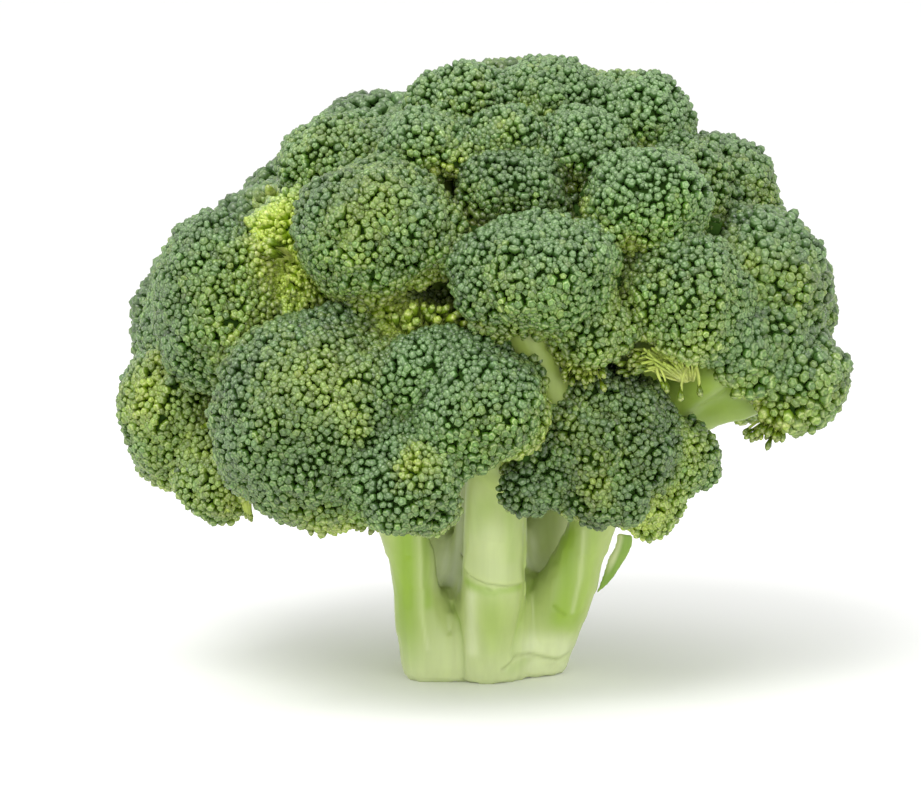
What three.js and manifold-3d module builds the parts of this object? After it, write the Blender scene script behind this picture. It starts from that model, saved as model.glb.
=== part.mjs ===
// A cut head of broccoli that stands on its stalk. Millimetres, +Z up, and -Y is its front.
// One solid is the stalk with all its limbs. Each floret is a solid of its own: a cap of
// buds, larger than life, raised from its surface. A thin blade is the small leaf left on
// the stalk's side. The places below are measured from the middle of the flat cut face,
// and the finished head is moved so that the origin lies under the middle of its box.
import * as THREE from "three";
import { ConvexHull } from "three/addons/math/ConvexHull.js";
import { mergeVertices } from "three/addons/utils/BufferGeometryUtils.js";
import Module from "manifold-3d";

const { Manifold, Mesh } = await loadBooleans();

// Driving dimensions.
const HEART = new THREE.Vector3(0, 0, 45); // where the limbs seem to fan out from
const GAP = 0.3; // air between pieces that touch
const BUD_PITCH = 8.1; // from one bud to the next
const BUD_RISE = 2.1; // how far a bud stands above the valleys round it
const BUD_SHAKE = 0.25; // how unevenly the buds are spread, as a share of their spacing
const LOBES = 8; // swellings on one floret
const LOBE_DEPTH = 0.09; // depth of the creases between them, as a share of its size
const LOBE_SHAKE = 0.35; // how unevenly they are spread, as a share of their spacing
const CREASE_WIDTH = 0.3; // how wide the creases are, in radians
const RIM = -0.4; // buds reach this far round below a floret's middle, as a cosine
const UNDERSIDE = 0.58; // depth of a floret's underside, as a share of its size
const PRESSED = 0.9; // cut shorter than this share of its reach, a floret shows no buds
const HIDDEN_SHARE = 7; // one point in so many is kept where a neighbour hides the buds
const HEX_CELL = 0.866; // area of a cell in a net of even triangles, in square pitches
const STALK_SIDES = 10;
const STALK_SIMPLER = 0.15; // faces of the stalk this close to flat are joined
const TWIG_SIDES = 6;
const TWIG_STEPS = 3;
const TWIG_ROOT = 0.6; // where a twig leaves its limb's last stretch, as a share of it
const TWIG_BEND = 0.35; // how far a twig bends towards its limb's end
const TWIG_NECK = 0.9; // where a twig meets its floret, in sizes below the middle
const TWIG_REACH = 0.25; // how far below its floret's middle a twig ends, in sizes
const TWIG_SLIM = 0.36; // half thickness of a twig, as a share of its floret's size
const TWIG_THICKEST = 0.85; // and at most this share of its limb's
const TWIG_FOOT = 0.8; // half thickness where it leaves the limb, as a share of the limb's
const TWIG_FLARE = 1.3; // how much it widens inside the floret
const LEAF_THICKNESS = 1.1;
const LEAF_CUP = 0.9; // how far a blade's edges stand forward of its middle
const LEAF_SIDES = 8;
const LEAF_STEPS = 6;
const SEED = 20417;

const GREEN = new THREE.Color(0x4f7a3c);
const PALE_GREEN = new THREE.Color(0xb4cb6c);
const LEAF_GREEN = new THREE.Color(0x86a83e);

// Limbs of the stalk: the line of each one's middle, and its half thickness at even steps
// along that line.
const LIMBS = {
  pith: {
    line: [[0, 2, -2], [0, 2, 8], [0.5, 1.5, 19], [1, 1.5, 30], [1, 2, 57], [2, 2, 83]],
    girth: [13.5, 13.3, 9.5, 7.8, 7.5, 7.5, 7.2, 7, 7],
  },
  left: {
    line: [[-11.5, -5, -2], [-12.6, -5.4, 8], [-15.2, -6.8, 17], [-16.4, -9, 27], [-23.5, -15, 53]],
    girth: [7.4, 7, 5.9, 4.9, 5.1, 5.5, 6, 6],
  },
  front: {
    line: [[0, -5.5, -2], [0.8, -8.5, 8], [1.5, -12, 19], [1.8, -15, 32], [2, -20, 57]],
    girth: [7, 6.9, 6.8, 6.8, 6.7, 6.4, 6],
  },
  right: {
    line: [[11.5, 1.5, -2], [12.8, -0.5, 8], [16.6, -4, 17], [20.6, -7, 27], [30, -12, 53]],
    girth: [6.8, 6.9, 6.9, 6.4, 5.1, 5.1, 5.3, 5.6],
  },
  back_left: {
    line: [[-9, 8, -2], [-10, 9, 13], [-12, 13, 32], [-20, 20, 55]],
    girth: [7.4, 7.2, 6.2, 5.8],
  },
  back_right: {
    line: [[9, 9, -2], [10, 10, 13], [14, 13, 32], [21, 20, 55]],
    girth: [7.4, 7, 6.2, 5.8],
  },
};

// Florets: the limb each grows from, its middle, and its half sizes along X, Y and Z.
const FLORETS = {
  front_left: { limb: "left", at: [-34.5, -46, 64.4], half: [26.5, 24, 24.8] },
  front_left_low: { limb: "left", at: [-16.5, -56.5, 52.2], half: [14.5, 15, 13.3] },
  front_middle: { limb: "front", at: [-1.5, -55, 70], half: [16.5, 16, 16.3] },
  front_right: { limb: "right", at: [23.5, -38, 58.2], half: [22.5, 20, 19] },
  front_right_inner: { limb: "front", at: [9.8, -42, 50.7], half: [10.5, 12, 10.3] },
  front_right_low: { limb: "right", at: [35.5, -35, 44.7], half: [10, 11, 9] },
  front_right_side: { limb: "right", at: [42, -31, 54.4], half: [11, 12.5, 11] },
  front_between: { limb: "front", at: [-13.5, -53, 76.5], half: [11.5, 12, 10] },
  centre: { limb: "front", at: [10.5, -52, 94.6], half: [20.8, 19, 15.8] },
  centre_low: { limb: "front", at: [21, -50, 84], half: [11, 13, 10] },
  left_high: { limb: "left", at: [-56, -22, 87.2], half: [18, 22, 24.5] },
  left_low: { limb: "left", at: [-67.3, -7, 59.9], half: [15.3, 22, 20] },
  left_under: { limb: "left", at: [-57.5, -17, 49.4], half: [14, 15, 12.8] },
  left_cleft: { limb: "left", at: [-42, -19, 97.2], half: [12, 14, 17] },
  left_cleft_low: { limb: "left", at: [-40, -25, 89], half: [11, 11, 11] },
  right_inner: { limb: "right", at: [42, -41, 89.2], half: [16, 17, 17] },
  right_high: { limb: "right", at: [59.5, -21, 90.7], half: [17, 19, 19] },
  right_elbow: { limb: "right", at: [54, -35, 77.5], half: [12.5, 13, 12] },
  right_low: { limb: "right", at: [63.8, -25, 70.4], half: [16.4, 17, 14.3] },
  upper_left: { limb: "pith", at: [-23, -41, 104.2], half: [20, 20, 17] },
  middle_cleft: { limb: "pith", at: [-15, -35, 84.7], half: [17, 12, 9.5] },
  upper_middle: { limb: "pith", at: [5, -36, 111.7], half: [14.5, 13, 11] },
  upper_right: { limb: "pith", at: [33.5, -37, 110.7], half: [16.5, 16, 13] },
  crest_left: { limb: "pith", at: [-14, -28, 121.2], half: [12, 13, 10.5] },
  crest_middle: { limb: "pith", at: [3.5, -26, 122.7], half: [12, 12, 10.5] },
  crest_right: { limb: "pith", at: [20.5, -26, 120.7], half: [13, 13, 11] },
  shoulder_left: { limb: "pith", at: [-30.8, -9, 115.4], half: [17.1, 19, 13.3] },
  shoulder_right: { limb: "pith", at: [52.5, -2, 110.2], half: [14, 17, 14] },
  top_left: { limb: "pith", at: [-3.8, -8, 127.5], half: [16, 16, 12.7] },
  top_middle: { limb: "pith", at: [14, -6, 129], half: [16, 17, 12.5] },
  top_right: { limb: "pith", at: [32.3, -4, 125], half: [15.6, 21, 12.7] },
  back_left_side: { limb: "back_left", at: [-60, 24, 74.9], half: [23, 23, 23] },
  back_left_high: { limb: "back_left", at: [-40, 31, 98.4], half: [20, 21, 18] },
  back_left_low: { limb: "back_left", at: [-34, 47, 70.4], half: [24, 23, 23] },
  back_middle: { limb: "back_left", at: [0, 53, 68.4], half: [23, 21, 23] },
  back_middle_high: { limb: "back_left", at: [-9, 42, 99.4], half: [23, 22, 21] },
  back_right_low: { limb: "back_right", at: [34, 46, 69.4], half: [23, 23, 23] },
  back_right_side: { limb: "back_right", at: [57, 23, 73.4], half: [23, 23, 22] },
  back_right_high: { limb: "back_right", at: [26, 40, 99.4], half: [23, 22, 21] },
  back_right_shoulder: { limb: "back_right", at: [49, 21, 96.4], half: [20, 20, 19] },
  top_back: { limb: "pith", at: [9, 20, 123.4], half: [26, 21, 15] },
  top_back_left: { limb: "pith", at: [-23, 16, 116.4], half: [20, 19, 15] },
  right_middle: { limb: "back_right", at: [63, 1, 83.4], half: [17, 17, 18] },
  left_middle: { limb: "back_left", at: [-63.5, 4, 78.2], half: [16.2, 17, 17.4] },
  left_back_shoulder: { limb: "back_left", at: [-48.5, 8, 97.4], half: [16, 17, 13] },
  shoulder_inner: { limb: "pith", at: [43, -16, 111.4], half: [14, 14, 13] },
};

// Leaves: the line of the blade's middle, its half widths, and the way its back faces.
const LEAVES = {
  side_leaf: {
    line: [[24.6, -5.4, 19.4], [27.3, -5.8, 22.8], [29.2, -6, 26.6], [31, -6.3, 30], [31.6, -6.4, 33]],
    halfWidth: [0.8, 1.7, 2.2, 2.5, 2],
    back: [0.3, -0.95, 0],
  },
};

/** The boolean library, ready for use. */
async function loadBooleans() {
  const wasm = await Module();
  wasm.setup();
  return wasm;
}

/** A closed three.js geometry as a solid that can be joined and cut. */
function solidOf(geometry) {
  const bare = geometry.index ? geometry.toNonIndexed() : geometry;
  const placed = new THREE.BufferGeometry();
  placed.setAttribute("position", bare.getAttribute("position"));
  const merged = mergeVertices(placed, 1e-4);
  return new Manifold(
    new Mesh({
      numProp: 3,
      vertProperties: merged.attributes.position.array,
      triVerts: new Uint32Array(merged.index.array),
    }),
  );
}

/** A solid as a three.js geometry. */
function geometryOf(solid) {
  const { vertProperties, triVerts } = solid.getMesh();
  const geometry = new THREE.BufferGeometry();
  geometry.setAttribute("position", new THREE.BufferAttribute(vertProperties, 3));
  geometry.setIndex(new THREE.BufferAttribute(triVerts, 1));
  geometry.computeVertexNormals();
  return geometry;
}

/** The largest body of a solid: a cut can leave loose scraps beside it. */
function mainBody(solid) {
  return solid.decompose().reduce((a, b) => (a.volume() > b.volume() ? a : b));
}

/** A stream of numbers from 0 to 1, the same on every run. */
function randomStream(seed) {
  let state = seed >>> 0;
  return () => {
    state = (Math.imul(state, 1664525) + 1013904223) >>> 0;
    return state / 2 ** 32;
  };
}

/** The value at t, from 0 to 1, along evenly spaced values. */
function along(values, t) {
  const place = t * (values.length - 1);
  const k = Math.min(Math.floor(place), values.length - 2);
  return THREE.MathUtils.lerp(values[k], values[k + 1], place - k);
}

/** A curve through points given as plain triples. */
function curveThrough(line) {
  return new THREE.CatmullRomCurve3(line.map((p) => new THREE.Vector3(...p)));
}

/**
 * A closed lathed rod bent along a curve. The half thickness goes from point to point of
 * girth, and shape, where it is given, moves a point (across, over) of the section.
 */
function bentRod(curve, girth, sides, steps, shape) {
  const profile = [new THREE.Vector2(0, 0)];
  for (let k = 0; k <= steps; k++) profile.push(new THREE.Vector2(along(girth, k / steps), k));
  profile.push(new THREE.Vector2(0, steps));
  const rod = new THREE.LatheGeometry(profile, sides);
  const frames = curve.computeFrenetFrames(steps);
  const points = curve.getSpacedPoints(steps);
  const place = rod.getAttribute("position");
  const p = new THREE.Vector3();
  for (let i = 0; i < place.count; i++) {
    const k = Math.round(place.getY(i));
    const section = [place.getX(i), place.getZ(i)];
    const [across, over] = shape ? shape(...section) : section;
    p.copy(points[k]).addScaledVector(frames.binormals[k], across);
    p.addScaledVector(frames.normals[k], over);
    place.setXYZ(i, p.x, p.y, p.z);
  }
  return solidOf(rod);
}

/** A floret with its outward axis, its lobes and the planes that part it from the others. */
function surveyed(name, { limb, at, half }, random) {
  const middle = new THREE.Vector3(...at);
  const axis = middle.clone().sub(HEART).normalize();
  const lobes = spherePoints(LOBES, random, LOBE_SHAKE);
  return { name, limb, middle, half: new THREE.Vector3(...half), axis, lobes, walls: [] };
}

/** Directions spread evenly over the sphere by the golden angle, then shaken a little. */
function spherePoints(count, random, shake) {
  const golden = Math.PI * (3 - Math.sqrt(5));
  const spacing = Math.sqrt((4 * Math.PI) / count);
  const turn = random() * 2 * Math.PI;
  return Array.from({ length: count }, (_, k) => {
    const z = 1 - (2 * k + 1) / count;
    const r = Math.sqrt(1 - z * z);
    const way = new THREE.Vector3(r * Math.cos(golden * k + turn), r * Math.sin(golden * k + turn), z);
    const push = new THREE.Vector3(random() - 0.5, random() - 0.5, random() - 0.5);
    return way.addScaledVector(push, shake * spacing).normalize();
  });
}

/** How far an ellipsoid with these half sizes reaches along a direction. */
function ellipsoidReach(half, way) {
  return 1 / Math.hypot(way.x / half.x, way.y / half.y, way.z / half.z);
}

/** Sets the plane between each two florets, where their surfaces would press together. */
function raiseWalls(florets) {
  for (const one of florets)
    for (const other of florets) {
      if (one === other) continue;
      const normal = other.middle.clone().sub(one.middle);
      const distance = normal.length();
      normal.divideScalar(distance);
      const mine = ellipsoidReach(one.half, normal);
      const theirs = ellipsoidReach(other.half, normal);
      one.walls.push({ normal, distance: (distance * mine) / (mine + theirs) - GAP / 2 });
    }
}

/** How far a floret would reach along a direction if it had no neighbours. */
function freeReach(floret, way) {
  const turns = floret.lobes.map((lobe) => Math.acos(THREE.MathUtils.clamp(lobe.dot(way), -1, 1)));
  turns.sort((a, b) => a - b);
  const crease = Math.exp(-(((turns[1] - turns[0]) / CREASE_WIDTH) ** 2));
  const below = THREE.MathUtils.smoothstep(-floret.axis.dot(way), 0.05, 1);
  const tuck = THREE.MathUtils.lerp(1, UNDERSIDE, below);
  return ellipsoidReach(floret.half, way) * (1 - LOBE_DEPTH * crease) * tuck;
}

/** How far the planes round a floret let it reach along a direction. */
function wallReach(floret, way) {
  let reach = Infinity;
  for (const { normal, distance } of floret.walls) {
    const lean = way.dot(normal);
    if (lean > 0) reach = Math.min(reach, distance / lean);
  }
  return reach;
}

/** Whether buds show in a direction: not under the rim, and not against a neighbour. */
function showsBuds(floret, way) {
  return floret.axis.dot(way) > RIM && wallReach(floret, way) > PRESSED * freeReach(floret, way);
}

/**
 * A floret's cap. Each point of a net over the sphere becomes the tip of a bud, and each
 * triangle between three tips becomes a valley point, a bud's rise lower where buds show.
 */
function capOf(floret, random) {
  const { half } = floret;
  const area = 4 * Math.PI * ((half.x * half.y + half.x * half.z + half.y * half.z) / 3);
  const count = Math.round(area / (HEX_CELL * BUD_PITCH ** 2));
  const tips = spherePoints(count, random, BUD_SHAKE).filter(
    (way, k) => showsBuds(floret, way) || k % HIDDEN_SHARE === 0,
  );
  const hull = new ConvexHull().setFromPoints(tips);
  const corners = [];
  const placeOf = (way, sink) => {
    const reach = Math.min(freeReach(floret, way), wallReach(floret, way)) - sink;
    return corners.push(...floret.middle.clone().addScaledVector(way, reach).toArray()) / 3 - 1;
  };
  const tipIndex = new Map(tips.map((way) => [way, placeOf(way, 0)]));
  const valleyIndex = new Map();
  for (const face of hull.faces) {
    const way = new THREE.Vector3();
    for (let k = 0; k < 3; k++) way.add(face.getEdge(k).head().point);
    way.normalize();
    valleyIndex.set(face, placeOf(way, showsBuds(floret, way) ? BUD_RISE : 0));
  }
  const triangles = [];
  for (const face of hull.faces)
    for (let k = 0; k < 3; k++) {
      const edge = face.getEdge(k);
      const across = valleyIndex.get(edge.twin.face);
      triangles.push(tipIndex.get(edge.tail().point), across, valleyIndex.get(face));
    }
  const cap = new THREE.BufferGeometry();
  cap.setAttribute("position", new THREE.Float32BufferAttribute(corners, 3));
  cap.setIndex(triangles);
  return solidOf(cap);
}

/** The stalk's rods, each thicker and longer by grow: its limbs, and a twig to each floret. */
function stalkRods(florets, grow) {
  const rods = Object.values(LIMBS).map(({ line, girth }) =>
    bentRod(curveThrough(line), girth.map((g) => g + grow), STALK_SIDES, girth.length - 1),
  );
  for (const floret of florets) {
    const { line, girth } = LIMBS[floret.limb];
    const tip = new THREE.Vector3(...line.at(-1));
    const thick = girth.at(-1);
    const size = ellipsoidReach(floret.half, floret.axis);
    const root = new THREE.Vector3(...line.at(-2)).lerp(tip, TWIG_ROOT);
    const neck = floret.middle.clone().addScaledVector(floret.axis, -TWIG_NECK * size);
    const bend = root.clone().lerp(neck, 0.5).lerp(tip, TWIG_BEND);
    const end = floret.middle.clone().addScaledVector(floret.axis, -TWIG_REACH * size + grow);
    const thin = Math.min(TWIG_SLIM * size, TWIG_THICKEST * thick);
    const curve = new THREE.CatmullRomCurve3([root, bend, neck, end]);
    const girths = [TWIG_FOOT * thick, thin, thin, TWIG_FLARE * thin].map((g) => g + grow);
    rods.push(bentRod(curve, girths, TWIG_SIDES, TWIG_STEPS));
  }
  return rods;
}

/** The stalk in one piece, cut flat at its foot. */
function stalkSolid(florets) {
  return Manifold.union(stalkRods(florets, 0)).trimByPlane([0, 0, 1], 0).simplify(STALK_SIMPLER);
}

/** A thin cupped blade along a leaf's line. */
function leafSolid({ line, halfWidth, back }) {
  const curve = curveThrough(line);
  const facing = new THREE.Vector3(...back).normalize();
  const frames = curve.computeFrenetFrames(LEAF_STEPS);
  const turn = Math.atan2(facing.dot(frames.binormals[0]), facing.dot(frames.normals[0]));
  const widest = Math.max(...halfWidth);
  return bentRod(curve, halfWidth, LEAF_SIDES, LEAF_STEPS, (x, z) => {
    const depth = (z / widest) * (LEAF_THICKNESS / 2) - LEAF_CUP * (x / widest) ** 2;
    return [x * Math.cos(turn) + depth * Math.sin(turn), depth * Math.cos(turn) - x * Math.sin(turn)];
  });
}

/** A named mesh with its own material. */
function piece(name, solid, color, roughness) {
  const material = new THREE.MeshStandardMaterial({ color, roughness, metalness: 0 });
  const mesh = new THREE.Mesh(geometryOf(solid), material);
  mesh.name = name;
  return mesh;
}

/** The whole head: the stalk, a mesh for each floret, and the leaves. */
function broccoliHead() {
  const random = randomStream(SEED);
  const florets = Object.entries(FLORETS).map(([name, spec]) => surveyed(name, spec, random));
  raiseWalls(florets);
  const stalk = stalkSolid(florets);
  const sockets = Manifold.union(stalkRods(florets, GAP));
  const head = new THREE.Group();
  head.add(piece("stalk", stalk, PALE_GREEN, 0.45));
  for (const floret of florets) {
    const cap = mainBody(capOf(floret, random).subtract(sockets));
    head.add(piece("floret_" + floret.name, cap, GREEN, 0.6));
  }
  for (const [name, leaf] of Object.entries(LEAVES)) {
    const blade = mainBody(leafSolid(leaf).subtract(sockets));
    head.add(piece(name, blade, LEAF_GREEN, 0.5));
  }
  const box = new THREE.Box3().setFromObject(head, true);
  head.position.set(-(box.min.x + box.max.x) / 2, -(box.min.y + box.max.y) / 2, -box.min.z);
  return head;
}

export default broccoliHead();
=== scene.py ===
"""A cut head of broccoli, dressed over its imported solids.

The florets' plain solids are softened and wrapped in one lobed skin. Each floret's piece is
its share of that skin, with round buds of true size on it and thin stems under some rims.
The stalk becomes a waxy skin with carved marks, and the small leaf a thin blade. Lengths are
in metres, and the tables of places are in mm.
"""

import logging
import math
from dataclasses import dataclass, field
from enum import Enum

import bmesh
import bpy
import numpy as np
from bmesh.types import BMesh, BMVert
from bpy.types import ID, Material, Mesh, Node, NodeSocket, NodeTree, Object
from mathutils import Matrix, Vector
from mathutils.bvhtree import BVHTree
from mathutils.kdtree import KDTree
from numpy import ndarray as Array
from numpy.random import Generator

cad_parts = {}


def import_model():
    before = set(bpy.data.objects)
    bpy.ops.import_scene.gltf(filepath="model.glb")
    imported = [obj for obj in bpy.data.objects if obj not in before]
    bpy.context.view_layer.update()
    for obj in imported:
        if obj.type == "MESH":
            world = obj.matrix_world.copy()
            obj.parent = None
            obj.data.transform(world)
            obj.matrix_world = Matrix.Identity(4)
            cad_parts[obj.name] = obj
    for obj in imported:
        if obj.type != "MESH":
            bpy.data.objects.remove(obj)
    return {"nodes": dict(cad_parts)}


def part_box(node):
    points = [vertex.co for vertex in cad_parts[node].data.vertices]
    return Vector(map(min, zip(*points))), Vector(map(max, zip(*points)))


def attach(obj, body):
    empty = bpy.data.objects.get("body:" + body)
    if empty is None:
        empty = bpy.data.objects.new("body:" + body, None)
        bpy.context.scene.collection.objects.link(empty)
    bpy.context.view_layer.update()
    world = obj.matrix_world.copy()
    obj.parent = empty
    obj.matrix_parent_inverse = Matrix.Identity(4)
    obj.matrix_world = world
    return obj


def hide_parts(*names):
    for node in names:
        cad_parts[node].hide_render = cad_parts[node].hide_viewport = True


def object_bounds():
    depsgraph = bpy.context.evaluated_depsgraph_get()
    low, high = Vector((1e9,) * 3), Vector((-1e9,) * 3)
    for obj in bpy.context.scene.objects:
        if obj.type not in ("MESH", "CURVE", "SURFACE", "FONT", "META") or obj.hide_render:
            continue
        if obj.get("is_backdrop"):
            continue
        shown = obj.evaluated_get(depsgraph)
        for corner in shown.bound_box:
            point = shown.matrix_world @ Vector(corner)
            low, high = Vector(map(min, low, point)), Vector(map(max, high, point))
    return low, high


log = logging.getLogger("broccoli")

MM = 0.001
HEART = Vector((1.02, -1.38, 45.0)) * MM  # where the limbs seem to fan out from
BODY = "root"
HEX_CELL = 0.866  # area of a cell in a net of even triangles, in square pitches
TINY = 1e-12
SAME_PLACE = 1e-6  # vertices closer than this are one
STEEP = 0.9  # an axis with a z beyond this is as good as upright
HALFWAY = 0.5
LIGHTEST = 1.8  # the highest tone of a bud

Span = tuple[float, float]
Place = tuple[float, float, float]
Color = tuple[float, float, float, float]
Line = tuple[Span, ...]


class Grain(Enum):
    """How far apart a floret's buds stand, in mm, and how many sides each has."""

    FINE = (1.2, 5)
    EVEN = (1.25, 5)
    COARSE = (1.58, 6)
    FAR = (2.1, 5)

    @property
    def pitch(self) -> float:
        """The distance between neighbouring buds."""
        return self.value[0] * MM

    @property
    def sides(self) -> int:
        """The number of a bud's sides."""
        return self.value[1]


# ---------------------------------------------------------------- meshes


def numbers_of(items: object, name: str, width: int, kind: type = np.float32) -> Array:
    """What each item of a mesh holds under that name, one row of that width each."""
    flat = np.empty(len(items) * width, kind)
    items.foreach_get(name, flat)
    return flat.reshape(-1, width)


def points_of(mesh: Mesh) -> Array:
    """The mesh's vertex places, one row each."""
    return numbers_of(mesh.vertices, "co", 3).astype(float)


def move_points(mesh: Mesh, points: Array) -> None:
    """Puts the mesh's vertices at these places."""
    mesh.vertices.foreach_set("co", points.astype(np.float32).ravel())
    mesh.update()


def normals_of(mesh: Mesh) -> Array:
    """The mesh's vertex normals, one row each."""
    return numbers_of(mesh.vertex_normals, "vector", 3).astype(float)


def triangles_of(mesh: Mesh) -> Array:
    """The vertex numbers of the mesh's triangles, one row each."""
    mesh.calc_loop_triangles()
    return numbers_of(mesh.loop_triangles, "vertices", 3, np.int32)


def new_object(name: str, data: ID) -> Object:
    """An object for a mesh, light or camera, in the scene."""
    obj = bpy.data.objects.new(name, data)
    bpy.context.scene.collection.objects.link(obj)
    return obj


def opened(mesh: Mesh) -> BMesh:
    """The mesh's own points and faces, to work on and pour back."""
    bm = bmesh.new()
    bm.from_mesh(mesh)
    return bm


def poured(bm: BMesh, mesh: Mesh, smooth: bool = True) -> Mesh:
    """The mesh, filled from a finished bmesh, which is freed."""
    for face in bm.faces:
        face.smooth = smooth
    bm.to_mesh(mesh)
    bm.free()
    return mesh


def apply_modifiers(obj: Object) -> None:
    """Makes what the object's modifiers show into its own mesh."""
    graph = bpy.context.evaluated_depsgraph_get()
    mesh = bpy.data.meshes.new_from_object(obj.evaluated_get(graph))
    obj.modifiers.clear()
    obj.data = mesh


def remesh(obj: Object, voxel: float) -> None:
    """Covers the object's solid with an even net of that pitch."""
    modifier = obj.modifiers.new("even", "REMESH")
    modifier.mode = "VOXEL"
    modifier.voxel_size = voxel
    modifier.use_smooth_shade = True
    apply_modifiers(obj)


def relax(mesh: Mesh, rounds: int) -> None:
    """Smooths a mesh by drawing each vertex halfway to its neighbours' middle, in rounds."""
    points = points_of(mesh)
    a, b = numbers_of(mesh.edges, "vertices", 2, np.int32).T
    degree = np.bincount(np.concatenate((a, b)), minlength=len(points))[:, None]
    for _ in range(rounds):
        total = np.zeros_like(points)
        for axis in range(3):
            total[:, axis] = np.bincount(a, points[b, axis], len(points))
            total[:, axis] += np.bincount(b, points[a, axis], len(points))
        points += HALFWAY * (total / degree - points)
    move_points(mesh, points)


def softened(node: Object, name: str, voxel: float, rounds: int) -> Object:
    """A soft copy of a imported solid.

    Args:
        node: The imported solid.
        name: The copy's name.
        voxel: The pitch of its even net.
        rounds: How many times it is smoothed.

    Returns:
        The copy.
    """
    bm = opened(node.data)
    bmesh.ops.remove_doubles(bm, verts=bm.verts, dist=SAME_PLACE)
    obj = new_object(name, poured(bm, bpy.data.meshes.new(name)))
    remesh(obj, voxel)
    relax(obj.data, rounds)
    return obj


def set_attribute(mesh: Mesh, name: str, values: Array) -> None:
    """Stores one number for each vertex under that name."""
    attribute = mesh.attributes.get(name) or mesh.attributes.new(name, "FLOAT", "POINT")
    attribute.data.foreach_set("value", np.ascontiguousarray(values, np.float32))


def paint(obj: Object, material: Material) -> None:
    """Gives the object this one material."""
    obj.data.materials.clear()
    obj.data.materials.append(material)


def stamped(
    name: str, stamp: Mesh, places: Array, material: Material, tints: dict[str, Array]
) -> Object:
    """Copies of a small mesh, as one object.

    Args:
        name: The object's name.
        stamp: The mesh to copy.
        places: The vertex places of every copy, one row for each copy.
        material: What they are made of.
        tints: Numbers to store by name, one for each copy.

    Returns:
        The object.
    """
    obj = new_object(name, stamp.copy())
    array = obj.modifiers.new("copies", "ARRAY")
    array.count = len(places)
    array.use_relative_offset = False
    apply_modifiers(obj)
    move_points(obj.data, places.reshape(-1, 3))
    paint(obj, material)
    for tint, values in tints.items():
        set_attribute(obj.data, tint, np.repeat(values, len(stamp.vertices)))
    return obj


def set_out(stamp: Mesh, turns: Array, scales: Array, places: Array) -> Array:
    """The vertex places of copies of a small mesh, one row for each, to be stamped."""
    return np.einsum("kij,kj,nj->kni", turns, scales, points_of(stamp)) + places[:, None]


def joined(name: str, parts: list[Object]) -> Object:
    """The parts as one object of that name."""
    with bpy.context.temp_override(active_object=parts[0], selected_editable_objects=parts):
        bpy.ops.object.join()
    parts[0].name = name
    parts[0].data.name = name
    return parts[0]


def hand_over(piece: Object, node: Object) -> Object:
    """The piece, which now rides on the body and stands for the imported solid."""
    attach(piece, BODY)
    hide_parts(node.name)
    return piece


def unit(vectors: Array) -> Array:
    """The vectors, row by row, at length 1."""
    return vectors / np.maximum(np.linalg.norm(vectors, axis=-1, keepdims=True), TINY)


def smooth_step(low: float, high: float, values: Array) -> Array:
    """0 at low, 1 at high, soft between and even beyond; high may be the lower of the two."""
    t = np.clip((values - low) / (high - low), 0, 1)
    return t * t * (3 - 2 * t)


def turned_to(axes: Array, spin: Array) -> Array:
    """Turns that take +Z to each axis, after a spin about +Z.

    Args:
        axes: The directions, one row each, at length 1.
        spin: The angle of each spin.

    Returns:
        A 3 by 3 turn for each row.
    """
    helper = np.where(np.abs(axes[:, 2:]) < STEEP, [[0.0, 0.0, 1.0]], [[1.0, 0.0, 0.0]])
    side = unit(np.cross(helper, axes))
    over = np.cross(axes, side)
    c, s = np.cos(spin)[:, None], np.sin(spin)[:, None]
    return np.stack((c * side + s * over, c * over - s * side, axes), axis=2)


def bell(places: Array, middle: Array, reach: float, power: int = 2) -> Array:
    """How near each place is to a middle: 1 there, and falling away about a reach off."""
    off = np.linalg.norm(places - middle, axis=1) / reach
    return np.exp(-(off**power))


def tree_of(places: Array) -> KDTree:
    """The places, ready for near ones to be found."""
    tree = KDTree(len(places))
    for k, place in enumerate(places):
        tree.insert(place, k)
    tree.balance()
    return tree


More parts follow.
